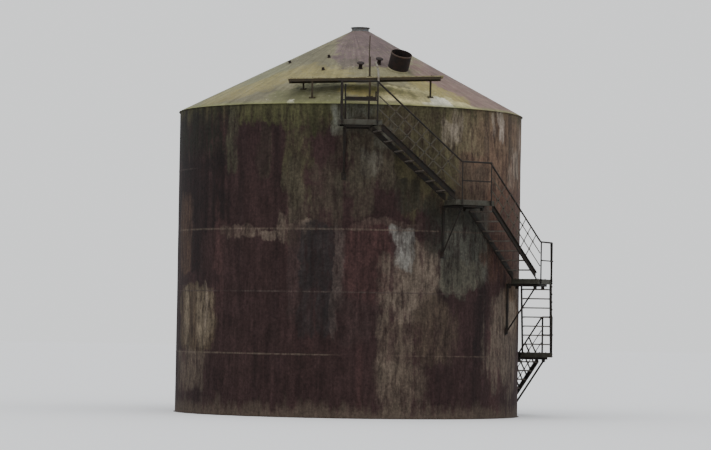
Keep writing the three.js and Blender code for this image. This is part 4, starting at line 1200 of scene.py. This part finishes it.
# The walkway on the roof, a little lower at its left end

walk = {"left": -1.520, "right": 2.200, "inner": 3.300, "outer": 3.950, "leftHeight": 8.070,
        "rightHeight": 8.190, "deck": 0.025, "deckPlate": 0.005, "boltsIn": 0.060, "bearer": 0.060,
        "bearerWidth": 0.040, "bearerPlate": 0.006, "bearerIn": 0.010, "leftIn": 0.020, "rightIn": 0.060,
        "cross": 0.050, "crossWidth": 0.040, "crossIn": 0.016, "crossDrop": 0.030, "leg": 0.050,
        "legPlate": 0.005, "legEnd": 0.012, "foot": 0.080, "footPlate": 0.011, "footBolt": 0.058,
        "crossings": (-1.420, -0.930, 0.440, 1.900),
        "legs": ((-1.150, -3.335), (-0.930, -3.905), (0.440, -3.905), (1.900, -3.335))}
brokenPost = {"x": 0.430, "fromEdge": 0.060, "width": 0.050, "plate": 0.006, "high": 0.480,
              "base": 0.090, "baseHalf": 0.050, "basePlate": 0.008, "nutsOut": 0.038, "nutsBack": 0.03,
              "rod": 0.012, "rodBend": 0.05, "rodIn": 0.020,
              "rodPath": ((0.008, -0.12), (0.014, 0.18), (0.022, 0.500))}
stub = {"x": 0.640, "radius": 0.026, "below": 0.120, "straight": 0.250, "bentX": -0.075,
        "bentHeight": 0.470, "bend": 0.05}


def walkHeight(x):
    share = (x - walk["left"]) / (walk["right"] - walk["left"])
    return walk["leftHeight"] + share * (walk["rightHeight"] - walk["leftHeight"])


def makeWalkwayDeck():
    w = walk
    front, back = -w["outer"], -w["inner"]
    middle = -(w["inner"] + w["outer"]) / 2
    deckPlate = bar((w["left"], middle, w["leftHeight"]), (w["right"], middle, w["rightHeight"]), (0, 0, -1),
                    w["outer"] - w["inner"], (w["deck"], w["deck"]), w["deckPlate"])
    paint(deckPlate, steel["lichenDeckSteel"])
    bolts = []
    for x in w["crossings"]:
        places = [(x, y, walkHeight(x)) for y in (front + w["boltsIn"], back - w["boltsIn"])]
        bolts += boltsAt(places, (0, 0, 1))
    handOver("walkwayDeck", [deckPlate] + bolts, "walkway", "walkway_deck")


def makeWalkwayFrame():
    w = walk
    front, back = -w["outer"], -w["inner"]
    high = w["deck"] + seatGap
    drop = high + w["bearer"] / 2
    ends = w["left"] + w["leftIn"], w["right"] - w["rightIn"]
    parts = []
    for y, inward in ((front + w["bearerIn"], 1), (back - w["bearerIn"], -1)):
        start, end = [(x, y, walkHeight(x) - drop) for x in ends]
        parts.append(bar(start, end, (0, inward, 0), w["bearer"], (w["bearerWidth"],) * 2, w["bearerPlate"]))
    for x in w["crossings"]:
        edge = x - w["crossWidth"] / 2
        z = walkHeight(x) - high - w["crossDrop"]
        parts.append(bar((edge, front + w["crossIn"], z), (edge, back - w["crossIn"], z), (1, 0, 0),
                         w["cross"], (w["crossWidth"], 0), w["legPlate"]))
    for x, y in w["legs"]:
        edge = x - w["leg"] / 2
        ground = roofHeightAt(x, y)
        head = walkHeight(x) - high - w["legEnd"]
        parts.append(bar((edge, y, ground - w["legEnd"]), (edge, y, head), (1, 0, 0), w["leg"],
                         (w["leg"], 0), w["legPlate"]))
        foot = bar((-w["foot"], 0, 0.0005), (w["foot"], 0, 0.0005), (0, 0, 1), w["foot"], (0, 0),
                   w["footPlate"])
        places = [(side * w["footBolt"], 0, w["footPlate"] + 0.0005) for side in (-1, 1)]
        nuts = boltsAt(places, (0, 0, 1))
        tilt = Matrix.Rotation(math.atan2(x, -y), 4, "Z") @ Matrix.Rotation(tank["slope"], 4, "X")
        parts.append(settle(joinUp([foot] + nuts), Matrix.Translation((x, y, ground)) @ tilt))
    frameWork = joinUp(parts)
    paintAll(frameWork, "mossyWalkwaySteel")
    handOver("walkwayFrame", [frameWork], "walkway", "walkway_frame")


def makeBrokenPost():
    p = brokenPost
    x, y, half = p["x"], -walk["outer"] + p["fromEdge"], p["width"] / 2
    edge = y - half
    floor = walkHeight(x) + 0.002
    top = floor + p["high"]
    angle = bar((x, edge, floor), (x, edge, top), (0, 1, 0), p["width"], (p["width"], 0), p["plate"])
    base = bar((x - p["baseHalf"], y, floor), (x + p["baseHalf"], y, floor), (0, 0, 1), p["base"], (0, 0),
               p["basePlate"])
    path = [(x - half + out, edge + p["rodIn"], top + up) for out, up in p["rodPath"]]
    rod = pipe(path, p["rod"], p["rodBend"], 3)
    places = [(x + side * p["nutsOut"], y + p["nutsBack"], floor + p["basePlate"]) for side in (-1, 1)]
    nuts = boltsAt(places, (0, 0, 1))
    post = paintBare([angle, base, rod] + nuts, "mossyWalkwaySteel")
    handOver("walkwayPost", [post], "walkway", "walkway_post")


def makeBentPipe():
    s = stub
    x, y, low = s["x"], -walk["outer"] - seatGap - s["radius"], walkHeight(s["x"]) - s["below"]
    bent = pipe([(x, y, low), (x, y, low + s["straight"]), (x + s["bentX"], y, low + s["bentHeight"])],
                s["radius"], s["bend"])
    paint(bent, steel["paleBarePipe"])
    handOver("bentPipe", [bent], "bright", "walkway_stub")


makeWalkwayDeck()
makeWalkwayFrame()
makeBrokenPost()
makeBentPipe()
bpy.data.objects.remove(boltModel)
print("walkway made")
